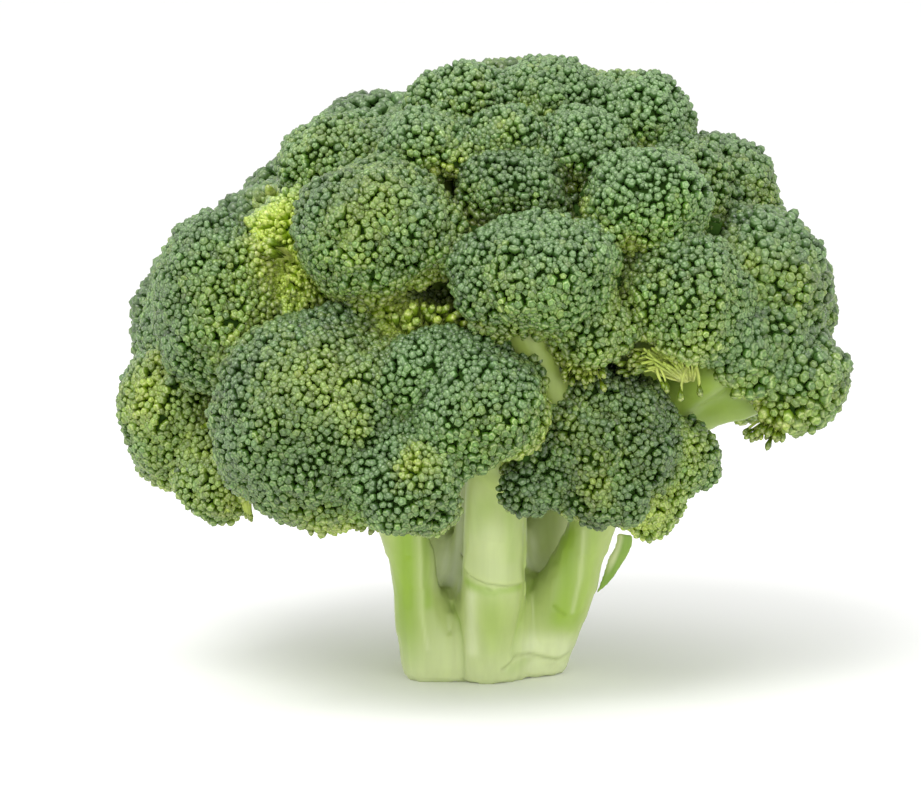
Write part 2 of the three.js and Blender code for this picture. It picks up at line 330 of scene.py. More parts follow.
class Surface:
    """A mesh's surface, ready for rays, nearest points and sowing."""

    reach = 1.45  # sites closer than this push each other apart, in pitches
    push = 0.5  # how far the closest ones go at once, in pitches

    def __init__(self, mesh: Mesh) -> None:
        """Reads the mesh's points and triangles."""
        self.points = points_of(mesh)
        self.triangles = triangles_of(mesh)
        self.tree = BVHTree.FromPolygons(self.points.tolist(), self.triangles.tolist())
        corners = self.points[self.triangles]
        across = np.cross(corners[:, 1] - corners[:, 0], corners[:, 2] - corners[:, 0])
        self.areas = np.linalg.norm(across, axis=1) / 2
        self.normals = unit(across)
        self.centres = corners.mean(axis=1)
        self.open = np.ones(len(self.triangles), bool)

    def sow(self, pitch: Array, rng: Generator, rounds: int) -> tuple[Array, Array, Array]:
        """Spreads sites over the open triangles until they lie about a pitch apart.

        Args:
            pitch: The distance between neighbouring sites, for each triangle.
            rng: The random stream.
            rounds: How many times the sites push each other apart.

        Returns:
            The places of the sites, the surface's normals there and the triangles they are on.
        """
        weights = self.areas * self.open / (HEX_CELL * pitch**2)
        count = int(weights.sum())
        faces = rng.choice(len(weights), count, p=weights / weights.sum())
        u, v = rng.random((2, count, 1))
        u, v = np.where(u + v > 1, 1 - u, u), np.where(u + v > 1, 1 - v, v)
        a, b, c = np.moveaxis(self.points[self.triangles[faces]], 1, 0)
        sites = a + u * (b - a) + v * (c - a)
        for _ in range(rounds):
            one, other = close_pairs(sites, self.reach * pitch[faces])
            away = sites[one] - sites[other]
            distance = np.linalg.norm(away, axis=1)
            own = pitch[faces[one]]
            share = np.minimum(distance / (self.reach * own), 1)
            push = away / np.maximum(distance, TINY)[:, None]
            push *= (self.push * own * (1 - share) ** 2)[:, None]
            moved = sites.copy()
            for axis in range(3):
                moved[:, axis] += np.bincount(one, push[:, axis], count)
            for k, place in enumerate(moved):
                found, _normal, face, _distance = self.tree.find_nearest(place)
                if self.open[face]:
                    sites[k] = found
                    faces[k] = face
        return sites, self.normals[faces], faces


def close_pairs(sites: Array, reach: Array) -> tuple[Array, Array]:
    """Every ordered pair of sites that lie within the first one's reach."""
    tree = tree_of(sites)
    one, other = [], []
    for k, place in enumerate(sites):
        for _place, j, _distance in tree.find_range(place, reach[k]):
            if j != k:
                one.append(k)
                other.append(j)
    return np.array(one), np.array(other)


def nearest_of(points: Array, hubs: Array) -> tuple[Array, Array]:
    """The nearest hub to each point, and how far off it is."""
    tree = tree_of(hubs)
    found = [tree.find(place) for place in points]
    return np.array([f[1] for f in found]), np.array([f[2] for f in found])


# ---------------------------------------------------------------- materials


MIX_A, MIX_B, MIX_RESULT = 6, 7, 2  # the sockets of a mix node that hold colours


class Nodes:
    """A small hand for a material's or a group's node tree."""

    def __init__(self, tree: NodeTree) -> None:
        """Takes the tree that the nodes go in."""
        self.tree = tree

    def add(self, kind: str, **settings: object) -> Node:
        """A new node with these settings."""
        node = self.tree.nodes.new(kind)
        for name, value in settings.items():
            setattr(node, name, value)
        return node

    def feed(self, socket: NodeSocket, value: object) -> None:
        """Links an output to the socket, or sets the socket's own value."""
        if isinstance(value, NodeSocket):
            self.tree.links.new(value, socket)
        else:
            socket.default_value = value

    def attribute(self, name: str) -> NodeSocket:
        """The number that each vertex holds under that name."""
        return self.add("ShaderNodeAttribute", attribute_name=name).outputs["Fac"]

    def sums(self, operation: str, *values: object) -> NodeSocket:
        """The result of a sum on numbers."""
        node = self.add("ShaderNodeMath", operation=operation)
        for socket, value in zip(node.inputs, values):
            self.feed(socket, value)
        return node.outputs[0]

    def span(self, value: object, old: Span, new: Span) -> NodeSocket:
        """The value, carried from one span of numbers to another."""
        node = self.add("ShaderNodeMapRange")
        names = ("Value", "From Min", "From Max", "To Min", "To Max")
        for name, number in zip(names, (value, *old, *new)):
            self.feed(node.inputs[name], number)
        return node.outputs[0]

    def lit(self, color: object, level: object) -> NodeSocket:
        """A colour, lighter or darker by a level round 1."""
        node = self.add("ShaderNodeVectorMath", operation="SCALE")
        self.feed(node.inputs[0], color)
        self.feed(node.inputs["Scale"], level)
        return node.outputs[0]

    def mix(self, share: object, a: object, b: object) -> NodeSocket:
        """Two colours, blended by a share from 0 to 1."""
        node = self.add("ShaderNodeMix", data_type="RGBA")
        self.feed(node.inputs[0], share)
        self.feed(node.inputs[MIX_A], a)
        self.feed(node.inputs[MIX_B], b)
        return node.outputs[MIX_RESULT]

    def ramp(self, value: object, stops: tuple[float, ...], codes: tuple[str, ...]) -> NodeSocket:
        """The colour at a value, through these colours at these stops."""
        node = self.add("ShaderNodeValToRGB")
        elements = node.color_ramp.elements
        while len(elements) < len(stops):
            elements.new(1.0)
        for element, stop, code in zip(elements, stops, codes):
            element.position = stop
            element.color = shade(code)
        self.feed(node.inputs[0], value)
        return node.outputs[0]

    def patches(self, mottle: NodeTree, scale: float, stretch: Place = (1, 1, 1)) -> NodeSocket:
        """The mottle group's patches at that scale, drawn out where the stretch is small."""
        node = self.add("ShaderNodeGroup", node_tree=mottle)
        place = self.add("ShaderNodeTexCoord").outputs["Object"]
        for name, value in (("Place", place), ("Scale", scale), ("Stretch", stretch)):
            self.feed(node.inputs[name], value)
        return node.outputs[0]


def shade(code: str) -> Color:
    """A colour written as six hexadecimal digits, as linear light by the sRGB curve."""
    parts = [int(code[k : k + 2], 16) / 255 for k in (0, 2, 4)]
    return (*[p / 12.92 if p <= 0.04045 else ((p + 0.055) / 1.055) ** 2.4 for p in parts], 1.0)


PATCH = (0.3, 0.7)  # what the mottle's patches mostly lie between
MOTTLE_DETAIL = 3.0


def mottle_group() -> NodeTree:
    """Soft patches over a surface, used by every finish of the plant."""
    tree = bpy.data.node_groups.new("mottle", "ShaderNodeTree")
    for name, kind in (("Place", "Vector"), ("Scale", "Float"), ("Stretch", "Vector")):
        tree.interface.new_socket(name, in_out="INPUT", socket_type="NodeSocket" + kind)
    tree.interface.new_socket("Patches", in_out="OUTPUT", socket_type="NodeSocketFloat")
    nodes = Nodes(tree)
    inputs = nodes.add("NodeGroupInput").outputs
    outputs = nodes.add("NodeGroupOutput").inputs
    stretched = nodes.add("ShaderNodeVectorMath", operation="MULTIPLY")
    nodes.feed(stretched.inputs[0], inputs["Place"])
    nodes.feed(stretched.inputs[1], inputs["Stretch"])
    noise = nodes.add("ShaderNodeTexNoise")
    noise.inputs["Detail"].default_value = MOTTLE_DETAIL
    nodes.feed(noise.inputs["Vector"], stretched.outputs[0])
    nodes.feed(noise.inputs["Scale"], inputs["Scale"])
    nodes.feed(outputs["Patches"], noise.outputs["Fac"])
    return tree


@dataclass(frozen=True)
class Gloss:
    """What is the same all over a finish."""

    roughness: float = 0.5
    specular: float = 0.4
    subsurface: float = 0.1
    depth: tuple[float, float, float] = (1.0, 1.0, 0.5)
    bleed: float = 0.001
    coat: float = 0.0


def new_material(name: str, gloss: Gloss) -> tuple[Material, Nodes, Node]:
    """A material with its plain values set.

    Args:
        name: The material's name.
        gloss: What is the same all over it.

    Returns:
        The material, a hand for its nodes, and its shader.
    """
    material = bpy.data.materials.new(name)
    material.use_nodes = True
    shader = material.node_tree.nodes["Principled BSDF"]
    for socket, value in (
        ("Roughness", gloss.roughness),
        ("Specular IOR Level", gloss.specular),
        ("Subsurface Weight", gloss.subsurface),
        ("Subsurface Radius", gloss.depth),
        ("Subsurface Scale", gloss.bleed),
        ("Coat Weight", gloss.coat),
    ):
        shader.inputs[socket].default_value = value
    return material, Nodes(material.node_tree), shader


@dataclass(frozen=True)
class BudFinish:
    """The dull waxy green of the buds, yellower where they are young or shaded.

    Each set of colours goes from a bud's foot to its tip, at the stops' heights. Each runs paler
    towards the tip, with a bright ring at the shoulder: partly the sepals' pale edges, partly
    painted highlight on the bud tops.
    """

    stops: tuple = (0.0, 0.22, 0.48, 0.62, 0.74, 1.0)
    # paler tips and a bright shoulder ring in every set: partly painted highlight
    green: tuple = ("487020", "4e7a20", "4e7a22", "aac874", "56842c", "86b24e")
    # the waxy colours, mixed in most on buds that face up and see open air: partly real bloom,
    # partly painted top light
    waxy: tuple = ("446830", "4a7030", "4c7634", "90b276", "668c50", "a4c288")
    young: tuple = ("647c0c", "86a21e", "98b42c", "dce684", "a4be3c", "c8da62")
    light: Span = (0.28, 0.94)  # of the darkest and the lightest buds
    speck: Span = (0.7, 1.3)
    speck_scale: float = 2500.0
    gloss: Gloss = Gloss(roughness=0.27, specular=0.6, subsurface=0.08)

    def build(self, mottle: NodeTree) -> Material:
        """The material of the buds."""
        material, nodes, shader = new_material("bud", self.gloss)
        height = nodes.attribute("height")
        green, waxy, young = (
            nodes.ramp(height, self.stops, codes) for codes in (self.green, self.waxy, self.young)
        )
        color = nodes.mix(nodes.attribute("wax"), green, waxy)
        color = nodes.mix(nodes.attribute("youth"), color, young)
        # The tone carries painted shade and painted light as well as each bud's own lightness.
        light = nodes.span(nodes.attribute("tone"), (0.0, LIGHTEST), self.light)
        speck = nodes.span(nodes.patches(mottle, self.speck_scale), PATCH, self.speck)
        color = nodes.lit(color, nodes.sums("MULTIPLY", light, speck))
        nodes.feed(shader.inputs["Base Color"], color)
        return material


@dataclass(frozen=True)
class CoreFinish:
    """The flesh between the buds, dark green as painted shade in the gaps, and the pale underside
    of a floret.
    """

    # painted shade: the dark green seen in the gaps between the buds
    between: str = "2e4a16"
    under: str = "8ba24a"
    evenness: float = 0.6  # of the underside
    patch_scale: float = 300.0
    gloss: Gloss = Gloss(roughness=0.9, specular=0.1)

    def build(self, mottle: NodeTree) -> Material:
        """The material of the skin under the buds."""
        material, nodes, shader = new_material("floret_flesh", self.gloss)
        patches = nodes.patches(mottle, self.patch_scale)
        under = nodes.mix(patches, shade(self.between), shade(self.under))
        under = nodes.mix(self.evenness, under, shade(self.under))
        color = nodes.mix(nodes.attribute("under"), shade(self.between), under)
        nodes.feed(shader.inputs["Base Color"], color)
        return material


@dataclass(frozen=True)
class PedicelFinish:
    """The thin yellow-green stems that carry the buds, greener towards them."""

    root: str = "c3cc6e"
    tip: str = "a2b64c"
    light: Span = (0.8, 1.15)
    patch_scale: float = 700.0
    gloss: Gloss = Gloss(roughness=0.45, subsurface=0.2)

    def build(self, mottle: NodeTree) -> Material:
        """The material of the pedicels."""
        material, nodes, shader = new_material("pedicel", self.gloss)
        color = nodes.mix(nodes.attribute("along"), shade(self.root), shade(self.tip))
        level = nodes.span(nodes.patches(mottle, self.patch_scale), PATCH, self.light)
        nodes.feed(shader.inputs["Base Color"], nodes.lit(color, level))
        return material


@dataclass(frozen=True)
class StalkFinish:
    """Pale waxy skin with greener ribs and fine fibres, with painted light and shade in some of
    its tints.
    """

    pale: str = "bac684"
    skin: str = "a6b968"
    rib: str = "93b23c"
    white: str = "d2dcaa"
    scar: str = "6f7a34"
    cloud_scale: float = 60.0
    cloud_stretch: Place = (1, 1, 0.5)
    fibre_scale: float = 420.0
    fibre_stretch: Place = (1, 1, 0.05)
    fibre_light: Span = (0.88, 1.12)
    bump: float = 0.15
    bump_height: float = 0.3 * MM
    gloss: Gloss = Gloss(roughness=0.4, specular=0.45, subsurface=0.2, bleed=0.003, coat=0.08)

    def build(self, mottle: NodeTree) -> Material:
        """The material of the stalk."""
        material, nodes, shader = new_material("stalk_skin", self.gloss)
        clouds = nodes.patches(mottle, self.cloud_scale, self.cloud_stretch)
        fibres = nodes.patches(mottle, self.fibre_scale, self.fibre_stretch)
        color = nodes.mix(clouds, shade(self.pale), shade(self.skin))
        for tint in ("rib", "white", "scar"):
            color = nodes.mix(nodes.attribute(tint), color, shade(getattr(self, tint)))
        level = nodes.span(fibres, (0.0, 1.0), self.fibre_light)
        nodes.feed(shader.inputs["Base Color"], nodes.lit(color, level))
        bump = nodes.add("ShaderNodeBump")
        bump.inputs["Strength"].default_value = self.bump
        bump.inputs["Distance"].default_value = self.bump_height
        nodes.feed(bump.inputs["Height"], fibres)
        nodes.feed(shader.inputs["Normal"], bump.outputs[0])
        return material


@dataclass(frozen=True)
class LeafFinish:
    """The small leaf's blade."""

    blade: str = "6a8e2e"
    vein: str = "93b04c"
    inner: str = "c3cd98"
    patch_scale: float = 350.0
    patch_stretch: Place = (1, 1, 0.3)
    gloss: Gloss = Gloss(roughness=0.4, subsurface=0.2)

    def build(self, mottle: NodeTree) -> Material:
        """The material of the leaf."""
        material, nodes, shader = new_material("leaf_blade", self.gloss)
        patches = nodes.patches(mottle, self.patch_scale, self.patch_stretch)
        color = nodes.mix(patches, shade(self.blade), shade(self.vein))
        color = nodes.mix(nodes.attribute("inner"), color, shade(self.inner))
        nodes.feed(shader.inputs["Base Color"], color)
        return material


@dataclass(frozen=True)
class Palette:
    """Every material of the head."""

    bud: Material
    core: Material
    pedicel: Material
    stalk: Material
    leaf: Material

    @staticmethod
    def mixed() -> "Palette":
        """Builds the materials over the one shared group."""
        mottle = mottle_group()
        finishes = (BudFinish(), CoreFinish(), PedicelFinish(), StalkFinish(), LeafFinish())
        return Palette(*[finish.build(mottle) for finish in finishes])


# ---------------------------------------------------------------- florets

DOME = 0.6  # how far from its middle the foot of a lobe or a bunch lies, in pitches


@dataclass(frozen=True)
class Habit:
    """How a floret has grown.

    Youth is how yellow its buds are all over, from 0 to 1, and they reach as far round below
    its middle as the rim says, as a cosine. Light is how much paler they are than most, and
    darker below 0: partly painted light, as on the high florets, and partly painted shade, as on
    the one at the front right in the central floret's shadow.
    """

    grain: Grain = Grain.FAR
    youth: float = 0.06
    rim: float = -0.52
    light: float = 0.0


HABITS = {
    "left_cleft": Habit(Grain.FINE, 0.5, -1.0, 0.8),
    "left_cleft_low": Habit(Grain.FINE, 0.5, -1.0, 1.1),
    "middle_cleft": Habit(Grain.FINE, 0.5, -1.0, 0.7),
    "left_high": Habit(Grain.EVEN, 0.06),
    "left_low": Habit(Grain.FINE, 0.36, light=0.08),
    "left_under": Habit(Grain.FINE, 0.36, light=0.1),
    "left_middle": Habit(Grain.FINE, 0.15),
    "front_left": Habit(Grain.EVEN, 0.1, light=-0.12),
    "front_left_low": Habit(Grain.EVEN, 0.18, light=0.15),
    "front_between": Habit(Grain.EVEN, 0.06, -1.0),
    "front_middle": Habit(Grain.EVEN, 0.06, -0.9),
    "front_right": Habit(Grain.FINE, 0.1, -0.8, -0.28),
    "front_right_inner": Habit(Grain.FINE, 0.3),
    "front_right_low": Habit(Grain.FINE, 0.4, light=0.35),
    "front_right_side": Habit(Grain.FINE, 0.3, light=0.2),
    "centre": Habit(Grain.EVEN, 0.06, -1.0, 0.12),
    "centre_low": Habit(Grain.FINE, 0.25, -1.0),
    "right_inner": Habit(Grain.EVEN, 0.08, light=0.1),
    "right_elbow": Habit(Grain.COARSE, 0.12),
    "right_low": Habit(Grain.COARSE, 0.15, light=-0.05),
    "right_high": Habit(Grain.COARSE, 0.16, light=0.05),
    "right_middle": Habit(Grain.COARSE, 0.2),
    "upper_left": Habit(Grain.EVEN, 0.1, light=-0.08),
    "upper_middle": Habit(Grain.FINE, 0.08),
    "upper_right": Habit(Grain.FINE, 0.1, light=0.42),
    "crest_left": Habit(Grain.FINE, 0.14, light=0.2),
    "crest_middle": Habit(Grain.FINE, 0.16, light=0.35),
    "crest_right": Habit(Grain.FINE, 0.12, light=0.2),
    "top_left": Habit(Grain.FINE, 0.14, light=0.3),
    "top_middle": Habit(Grain.FINE, 0.12, light=0.35),
    "top_right": Habit(Grain.FINE, 0.1, light=0.3),
    "shoulder_left": Habit(Grain.FINE, 0.12, light=0.1),
    "shoulder_inner": Habit(Grain.FINE, 0.08),
    "shoulder_right": Habit(Grain.EVEN, 0.1),
}

# Florets that have grown into one mass, with no more than a crease between them.
MASSES = (
    {"front_left", "front_between", "front_middle", "front_left_low"},
    {"right_inner", "right_elbow", "right_high", "right_low", "right_middle"},
    {"front_right", "front_right_inner", "front_right_low", "front_right_side"},
    {"left_low", "left_under", "left_middle"},
    {"centre", "centre_low"},
    {"left_cleft", "left_cleft_low", "left_back_shoulder"},
    {"top_left", "top_middle", "top_right", "top_back", "top_back_left"},
)


@dataclass(frozen=True)
class Spot:
    """A place on the crown, with a reach round it, in mm."""

    middle: Place
    reach: float

    def weight(self, points: Array) -> Array:
        """How near each point is, from 1 at the spot's middle to 0."""
        return bell(points, np.array(self.middle) * MM, self.reach * MM)


@dataclass(frozen=True)
class Flush(Spot):
    """A patch of young yellow-green buds, and how yellow it is.

    Where it is drawn, its buds stand out like small fingers. Light is how much paler they are:
    painted light on young buds deep in the clefts.
    """

    strength: float = 0.5
    drawn: float = 0.0
    light: float = 0.0


FLUSHES = (
    # In the cleft on the left, and in the small one in the middle.
    Flush((-47.0, -1.0, 107.5), 5.0, 0.7, 0.7, 0.3),
    Flush((-44.5, -29.5, 102.5), 7.5, 0.8, 0.8, 0.4),
    Flush((-41.5, -32.5, 97.0), 7.5, 0.9, 0.9, 0.8),
    Flush((-47.0, -33.5, 98.5), 5.0, 0.6, 0.4, 0.3),
    Flush((-16.0, -45.0, 86.0), 5.0, 0.8, 0.7, 0.6),
    Flush((-8.5, -45.0, 86.5), 6.0, 0.8, 0.8, 0.8),
    # On the high florets.
    Flush((-22.0, -58.0, 112.0), 7.0, 0.2),
    Flush((1.0, -67.5, 92.5), 6.5, 0.3),
    Flush((-2.5, -62.0, 87.0), 4.0, 0.4),
    Flush((6.5, -34.5, 128.0), 4.5, 0.6, 0.2),
    Flush((-8.5, -37.5, 124.0), 6.0, 0.12),
    Flush((0.0, -16.5, 135.5), 4.0, 0.25),
    # On the large one at the front and its neighbours.
    Flush((-32.5, -62.5, 77.5), 8.0, 0.35),
    Flush((-28.5, -68.0, 71.5), 6.0, 0.45),
    Flush((-25.5, -66.0, 65.0), 3.0, 0.5, 0.4),
    Flush((-14.5, -66.5, 59.0), 4.5, 0.9, 0.4),
    Flush((-18.0, -69.0, 55.5), 4.0, 0.5),
    Flush((-34.5, -55.5, 44.5), 5.0, 0.5, 0.2),
    # On the left and the right side.
    Flush((-73.0, -23.5, 65.5), 5.0, 0.3),
    Flush((-60.0, -27.0, 55.0), 6.0, 0.3),
    Flush((-54.0, -29.0, 44.5), 5.0, 0.4, 0.2),
    Flush((40.5, -47.5, 78.5), 6.0, 0.6, 0.2),
    Flush((46.5, -54.5, 81.0), 5.0, 0.35),
    Flush((57.0, -38.0, 96.5), 5.0, 0.35, 0.15),
    Flush((74.0, -31.0, 88.5), 7.0, 0.3),
    Flush((63.5, -36.0, 62.0), 6.0, 0.5, 0.2),
    Flush((57.5, -36.0, 67.5), 4.0, 0.4),
    # Under the rims at the front right.
    Flush((23.5, -55.0, 51.0), 5.0, 0.55, 0.3),
    Flush((34.5, -46.5, 47.0), 6.0, 0.4),
    Flush((45.5, -41.0, 58.5), 4.0, 0.3),
)


@dataclass(frozen=True)
class Push(Spot):
    """A place where the skin is pushed out or drawn back, by a move in mm.

    The buds in the hollow that it leaves are as much darker as it says: painted shade in the
    hollow.
    """

    move: Place
    dark: float = 0.0
    depth: float = 0.7  # the share of the move at which the hollow is darkest
    breadth: float = 1.25  # of the dark, in reaches
    edge: int = 4  # the higher, the more sharply the dark ends

    def painted_shade(self, sites: Array) -> Array:
        """How much painted shade darkens the buds at each site."""
        bottom = (np.array(self.middle) + self.depth * np.array(self.move)) * MM
        return self.dark * bell(sites, bottom, self.breadth * self.reach * MM, self.edge)


PUSHES = (
    # The hollow under the central floret, where its branch is bare.
    Push((8.0, -62.0, 82.0), 7.0, (0.0, 11.0, 2.0)),
    Push((14.0, -57.0, 76.5), 5.0, (0.0, 7.0, 0.0)),
    # The low edge of the one at the front right, and the inner rim on the right.
    Push((25.0, -46.0, 48.0), 9.0, (0.0, -1.0, -3.5)),
    Push((46.0, -44.0, 48.0), 7.0, (1.0, -0.5, -1.5)),
    Push((33.0, -44.0, 44.0), 8.0, (0.0, -0.5, -1.5)),
    # The low edges on the left.
    Push((-61.0, -26.0, 47.0), 8.0, (0.0, -0.5, -3.0)),
    Push((-30.0, -54.0, 44.0), 9.0, (0.0, -0.5, -2.0)),
    # The outermost ones on both sides.
    Push((-76.0, -20.0, 68.0), 9.0, (-1.5, 0.0, 0.0)),
    Push((-70.0, -22.0, 52.0), 8.0, (1.5, 0.0, 1.0)),
    Push((77.0, -27.0, 73.0), 8.0, (1.4, -0.5, 0.0)),
    Push((34.0, -46.0, 82.0), 7.0, (-1.5, -1.0, -4.0)),
    # Dark gaps where high florets meet, and over the small cleft in the middle: hollows, with
    # painted shade on their buds.
    Push((-8.0, -40.5, 114.5), 4.4, (0.6, 9.0, -5.0), 1.2),
    Push((-2.5, -45.8, 107.5), 3.4, (0.0, 8.0, -4.0), 1.2),
    Push((2.0, -47.5, 106.5), 3.4, (0.0, 8.0, -4.0), 1.0),
    Push((19.6, -38.5, 114.0), 3.6, (0.0, 9.0, -4.0), 1.2),
    Push((20.3, -42.5, 110.0), 3.6, (0.0, 9.0, -4.0), 1.2),
    Push((31.3, -47.0, 98.0), 3.8, (0.0, 9.0, -2.0), 1.0),
    Push((24.5, -49.0, 80.0), 3.4, (0.0, 7.0, 0.0), 1.0),
    Push((16.5, -50.0, 75.0), 3.6, (0.0, 5.0, 0.0), 1.2),
    Push((-10.5, -44.0, 91.5), 5.5, (0.0, 10.0, 0.0), 1.3),
    Push((-9.5, -48.0, 98.0), 3.4, (0.0, 6.0, 0.0), 1.0),
)


@dataclass(frozen=True)
class Fan:
    """A spray of thin stems that leave one root under a floret's rim, each with a young bud.

    Places are in mm. The tips lie over an oval round their middle, and the stems bow by the
    share of their length that the bow says. Girth is a stem's half thickness. Plump and tall
    are its bud's width and height against a small round one's, and light is how much paler it
    is than most.
    """

    floret: str
    root: Place
    tips: Place
    spread: Place = (0.5, 0.5, 0.5)
    count: int = 1
    girth: float = 0.36
    bow: float = 0.15
    budded: bool = True
    plump: float = 1.0
    tall: float = 1.5
    # painted light: how much paler the fan's young buds are, where they catch light in the clefts
    light: float = 0.0


FANS = (
    # The bare branch under the central floret.
    Fan("centre", (20.0, -43.0, 62.0), (6.0, -52.5, 90.0), girth=5.4, bow=0.02, budded=False),
    # Young buds that hang from its low end.
    Fan("centre_low", (22.0, -47.0, 81.0), (21.5, -55.5, 75.0), (6.5, 3.5, 2.6), 30, 0.4),
    # The open underside of the inner floret on the right: bare stems, and three that hang.
    Fan(
        "right_inner", (43.5, -43.0, 73.0), (39.0, -50.0, 79.0), (7.5, 2.0, 2.2), 60, 0.42,
        0.12, False,
    ),
    Fan("right_inner", (41.0, -44.0, 78.0), (32.0, -49.5, 77.5), (3.2, 2.5, 3.2), 26),
    Fan("right_inner", (37.0, -48.0, 77.0), (38.7, -50.5, 72.0), count=2),
    Fan("right_inner", (43.5, -48.0, 76.5), (42.0, -50.5, 70.3), count=2),
    Fan("right_inner", (45.3, -48.0, 77.0), (46.2, -50.5, 71.2), count=2),
    # Below the low floret on the right.
    Fan("right_low", (67.0, -29.0, 66.0), (61.5, -34.0, 60.0), (5.0, 3.5, 1.6), 34),
    Fan("right_low", (64.0, -33.0, 62.5), (62.5, -35.0, 57.3), count=2),
    # Two thick stems with their bunches, and a few thin ones, low on the left.
    Fan("left_under", (-54.6, -27.5, 48.0), (-56.5, -29.0, 42.0), (1.2, 1.2, 0.8), 5, 0.6),
    Fan("left_under", (-52.2, -27.5, 47.0), (-50.8, -29.0, 41.0), (1.4, 1.2, 0.8), 6, 0.7),
    Fan("front_left", (-36.0, -50.0, 49.0), (-33.5, -53.5, 42.5), (5.0, 3.0, 1.0), 20),
    Fan("front_left", (-22.0, -52.0, 48.5), (-24.0, -55.5, 43.0), (4.0, 3.0, 1.2), 16),
    # In the cleft on the left, where the skin of buds is open.
    Fan(
        "left_cleft", (-41.5, -27.5, 95.5), (-38.0, -34.5, 90.5), (4.6, 3.5, 4.0), 44,
        plump=1.2, tall=1.9, light=0.7,
    ),
    Fan(
        "left_cleft", (-41.5, -33.0, 98.0), (-46.0, -36.0, 100.0), (2.0, 1.5, 3.0), 14,
        plump=1.2, tall=1.9, light=0.5,
    ),
    # Young ones that stand in the small cleft in the middle.
    Fan(
        "middle_cleft", (-14.0, -42.0, 80.0), (-11.0, -50.0, 87.0), (9.5, 2.0, 2.6), 26,
        0.5, plump=1.6, tall=2.2, light=0.8,
    ),
    # Under the front rim on the right.
    Fan("front_right", (24.0, -42.0, 52.0), (25.0, -47.0, 45.0), (9.0, 3.0, 1.4), 36),
    # A small pale stem beside the front limb.
    Fan("front_right_inner", (5.6, -44.0, 59.0), (4.2, -45.0, 53.8), (0.3, 0.3, 0.3), 1, 0.6),
)


@dataclass(frozen=True)
class Stems:
    """The stems of the fans, and the young buds on their tips."""

    steps: int = 5
    sides: int = 5
    branch_sides: int = 16
    thick: float = 2.0  # a stem of more girth than this is a branch
    slimming: float = 0.25
    gather: float = 0.25  # the share of the tips' spread that the roots have
    crowding: float = 0.4  # the lower, the more tips lie at the edge of their oval
    sag: Place = (0, -0.6, 0.6)
    girths: Span = (0.8, 1.2)
    # painted shade on the bare branch, in the rib's and the scar's colours
    branch_green_and_shade: float = 0.6
    branch_painted_shade: float = 0.5
    bud: float = 0.62 * MM
    sizes: Span = (0.8, 1.3)
    youth: Span = (0.55, 1.0)
    tone: Span = (0.35, 0.8)
    wax: Span = (0.0, 0.3)

    def template(self, sides: int) -> Mesh:
        """A closed tube along +Z from 0 to 1, with its radius 1."""
        bm = bmesh.new()
        bmesh.ops.create_cone(
            bm, cap_ends=True, segments=sides, radius1=1.0, radius2=1.0, depth=1.0
        )
        rises = {edge: abs(edge.verts[0].co.z - edge.verts[1].co.z) for edge in bm.edges}
        along = [edge for edge, rise in rises.items() if rise > HALFWAY]
        bmesh.ops.subdivide_edges(bm, edges=along, cuts=self.steps - 1)
        bmesh.ops.translate(bm, verts=bm.verts, vec=(0, 0, HALFWAY))
        mesh = poured(bm, bpy.data.meshes.new("one_stem"))
        for face in mesh.polygons:
            face.use_smooth = len(face.vertices) == 4
        return mesh

    def grow(self, fan: Fan, rng: Generator, bud: Mesh, palette: Palette) -> list[Object]:
        """Makes the stems of one fan, and the buds on their tips.

        Args:
            fan: The fan.
            rng: The random stream.
            bud: The bud to copy.
            palette: The materials.

        Returns:
            The stems and the buds, an object each.
        """
        count = fan.count
        root, tips = np.array(fan.root) * MM, np.array(fan.tips) * MM
        spread = unit(rng.normal(0, 1, (count, 3))) * rng.random((count, 1)) ** self.crowding
        ends = tips + spread * np.array(fan.spread) * MM
        starts = root + self.gather * (ends - tips)
        chord = ends - starts
        length = np.linalg.norm(chord, axis=1)[:, None]
        sideways = unit(rng.normal(0, 1, chord.shape) + self.sag)
        bend = (starts + ends) / 2 + fan.bow * length * sideways
        branch = fan.girth > self.thick
        stem = self.template(self.branch_sides if branch else self.sides)
        shape = points_of(stem)
        t = shape[None, :, 2:]
        line = (1 - t) ** 2 * starts[:, None] + 2 * t * (1 - t) * bend[:, None]
        line += t**2 * ends[:, None]
        turn = turned_to(unit(chord), np.zeros(count))
        girth = fan.girth * MM * rng.uniform(*self.girths, (count, 1, 1)) * (1 - self.slimming * t)
        ring = np.einsum("kij,nj->kni", turn[:, :, :2], shape[:, :2]) * girth
        material = palette.stalk if branch else palette.pedicel
        stems = stamped("stems", stem, line + ring, material, {})
        set_attribute(stems.data, "along", np.tile(shape[:, 2], count))
        if branch:
            # Painted shade on the bare branch, in the rib's and the scar's colours.
            for name, tint in (("rib", self.branch_green_and_shade), ("scar", self.branch_painted_shade)):
                set_attribute(stems.data, name, np.full(len(stems.data.vertices), tint))
        if not fan.budded:
            return [stems]
        size = self.bud * rng.uniform(*self.sizes, (count, 1))
        scale = size * np.array((fan.plump, fan.plump, fan.tall))
        over = turned_to(unit(ends - bend), rng.uniform(0, math.tau, count))
        tints = {
            "youth": rng.uniform(*self.youth, count),
            # painted light on the fan's young buds
            "tone": rng.uniform(*self.tone, count) + fan.light,
            "wax": rng.uniform(*self.wax, count),
        }
        return [stems, stamped("tufts", bud, set_out(bud, over, scale, ends), palette.bud, tints)]


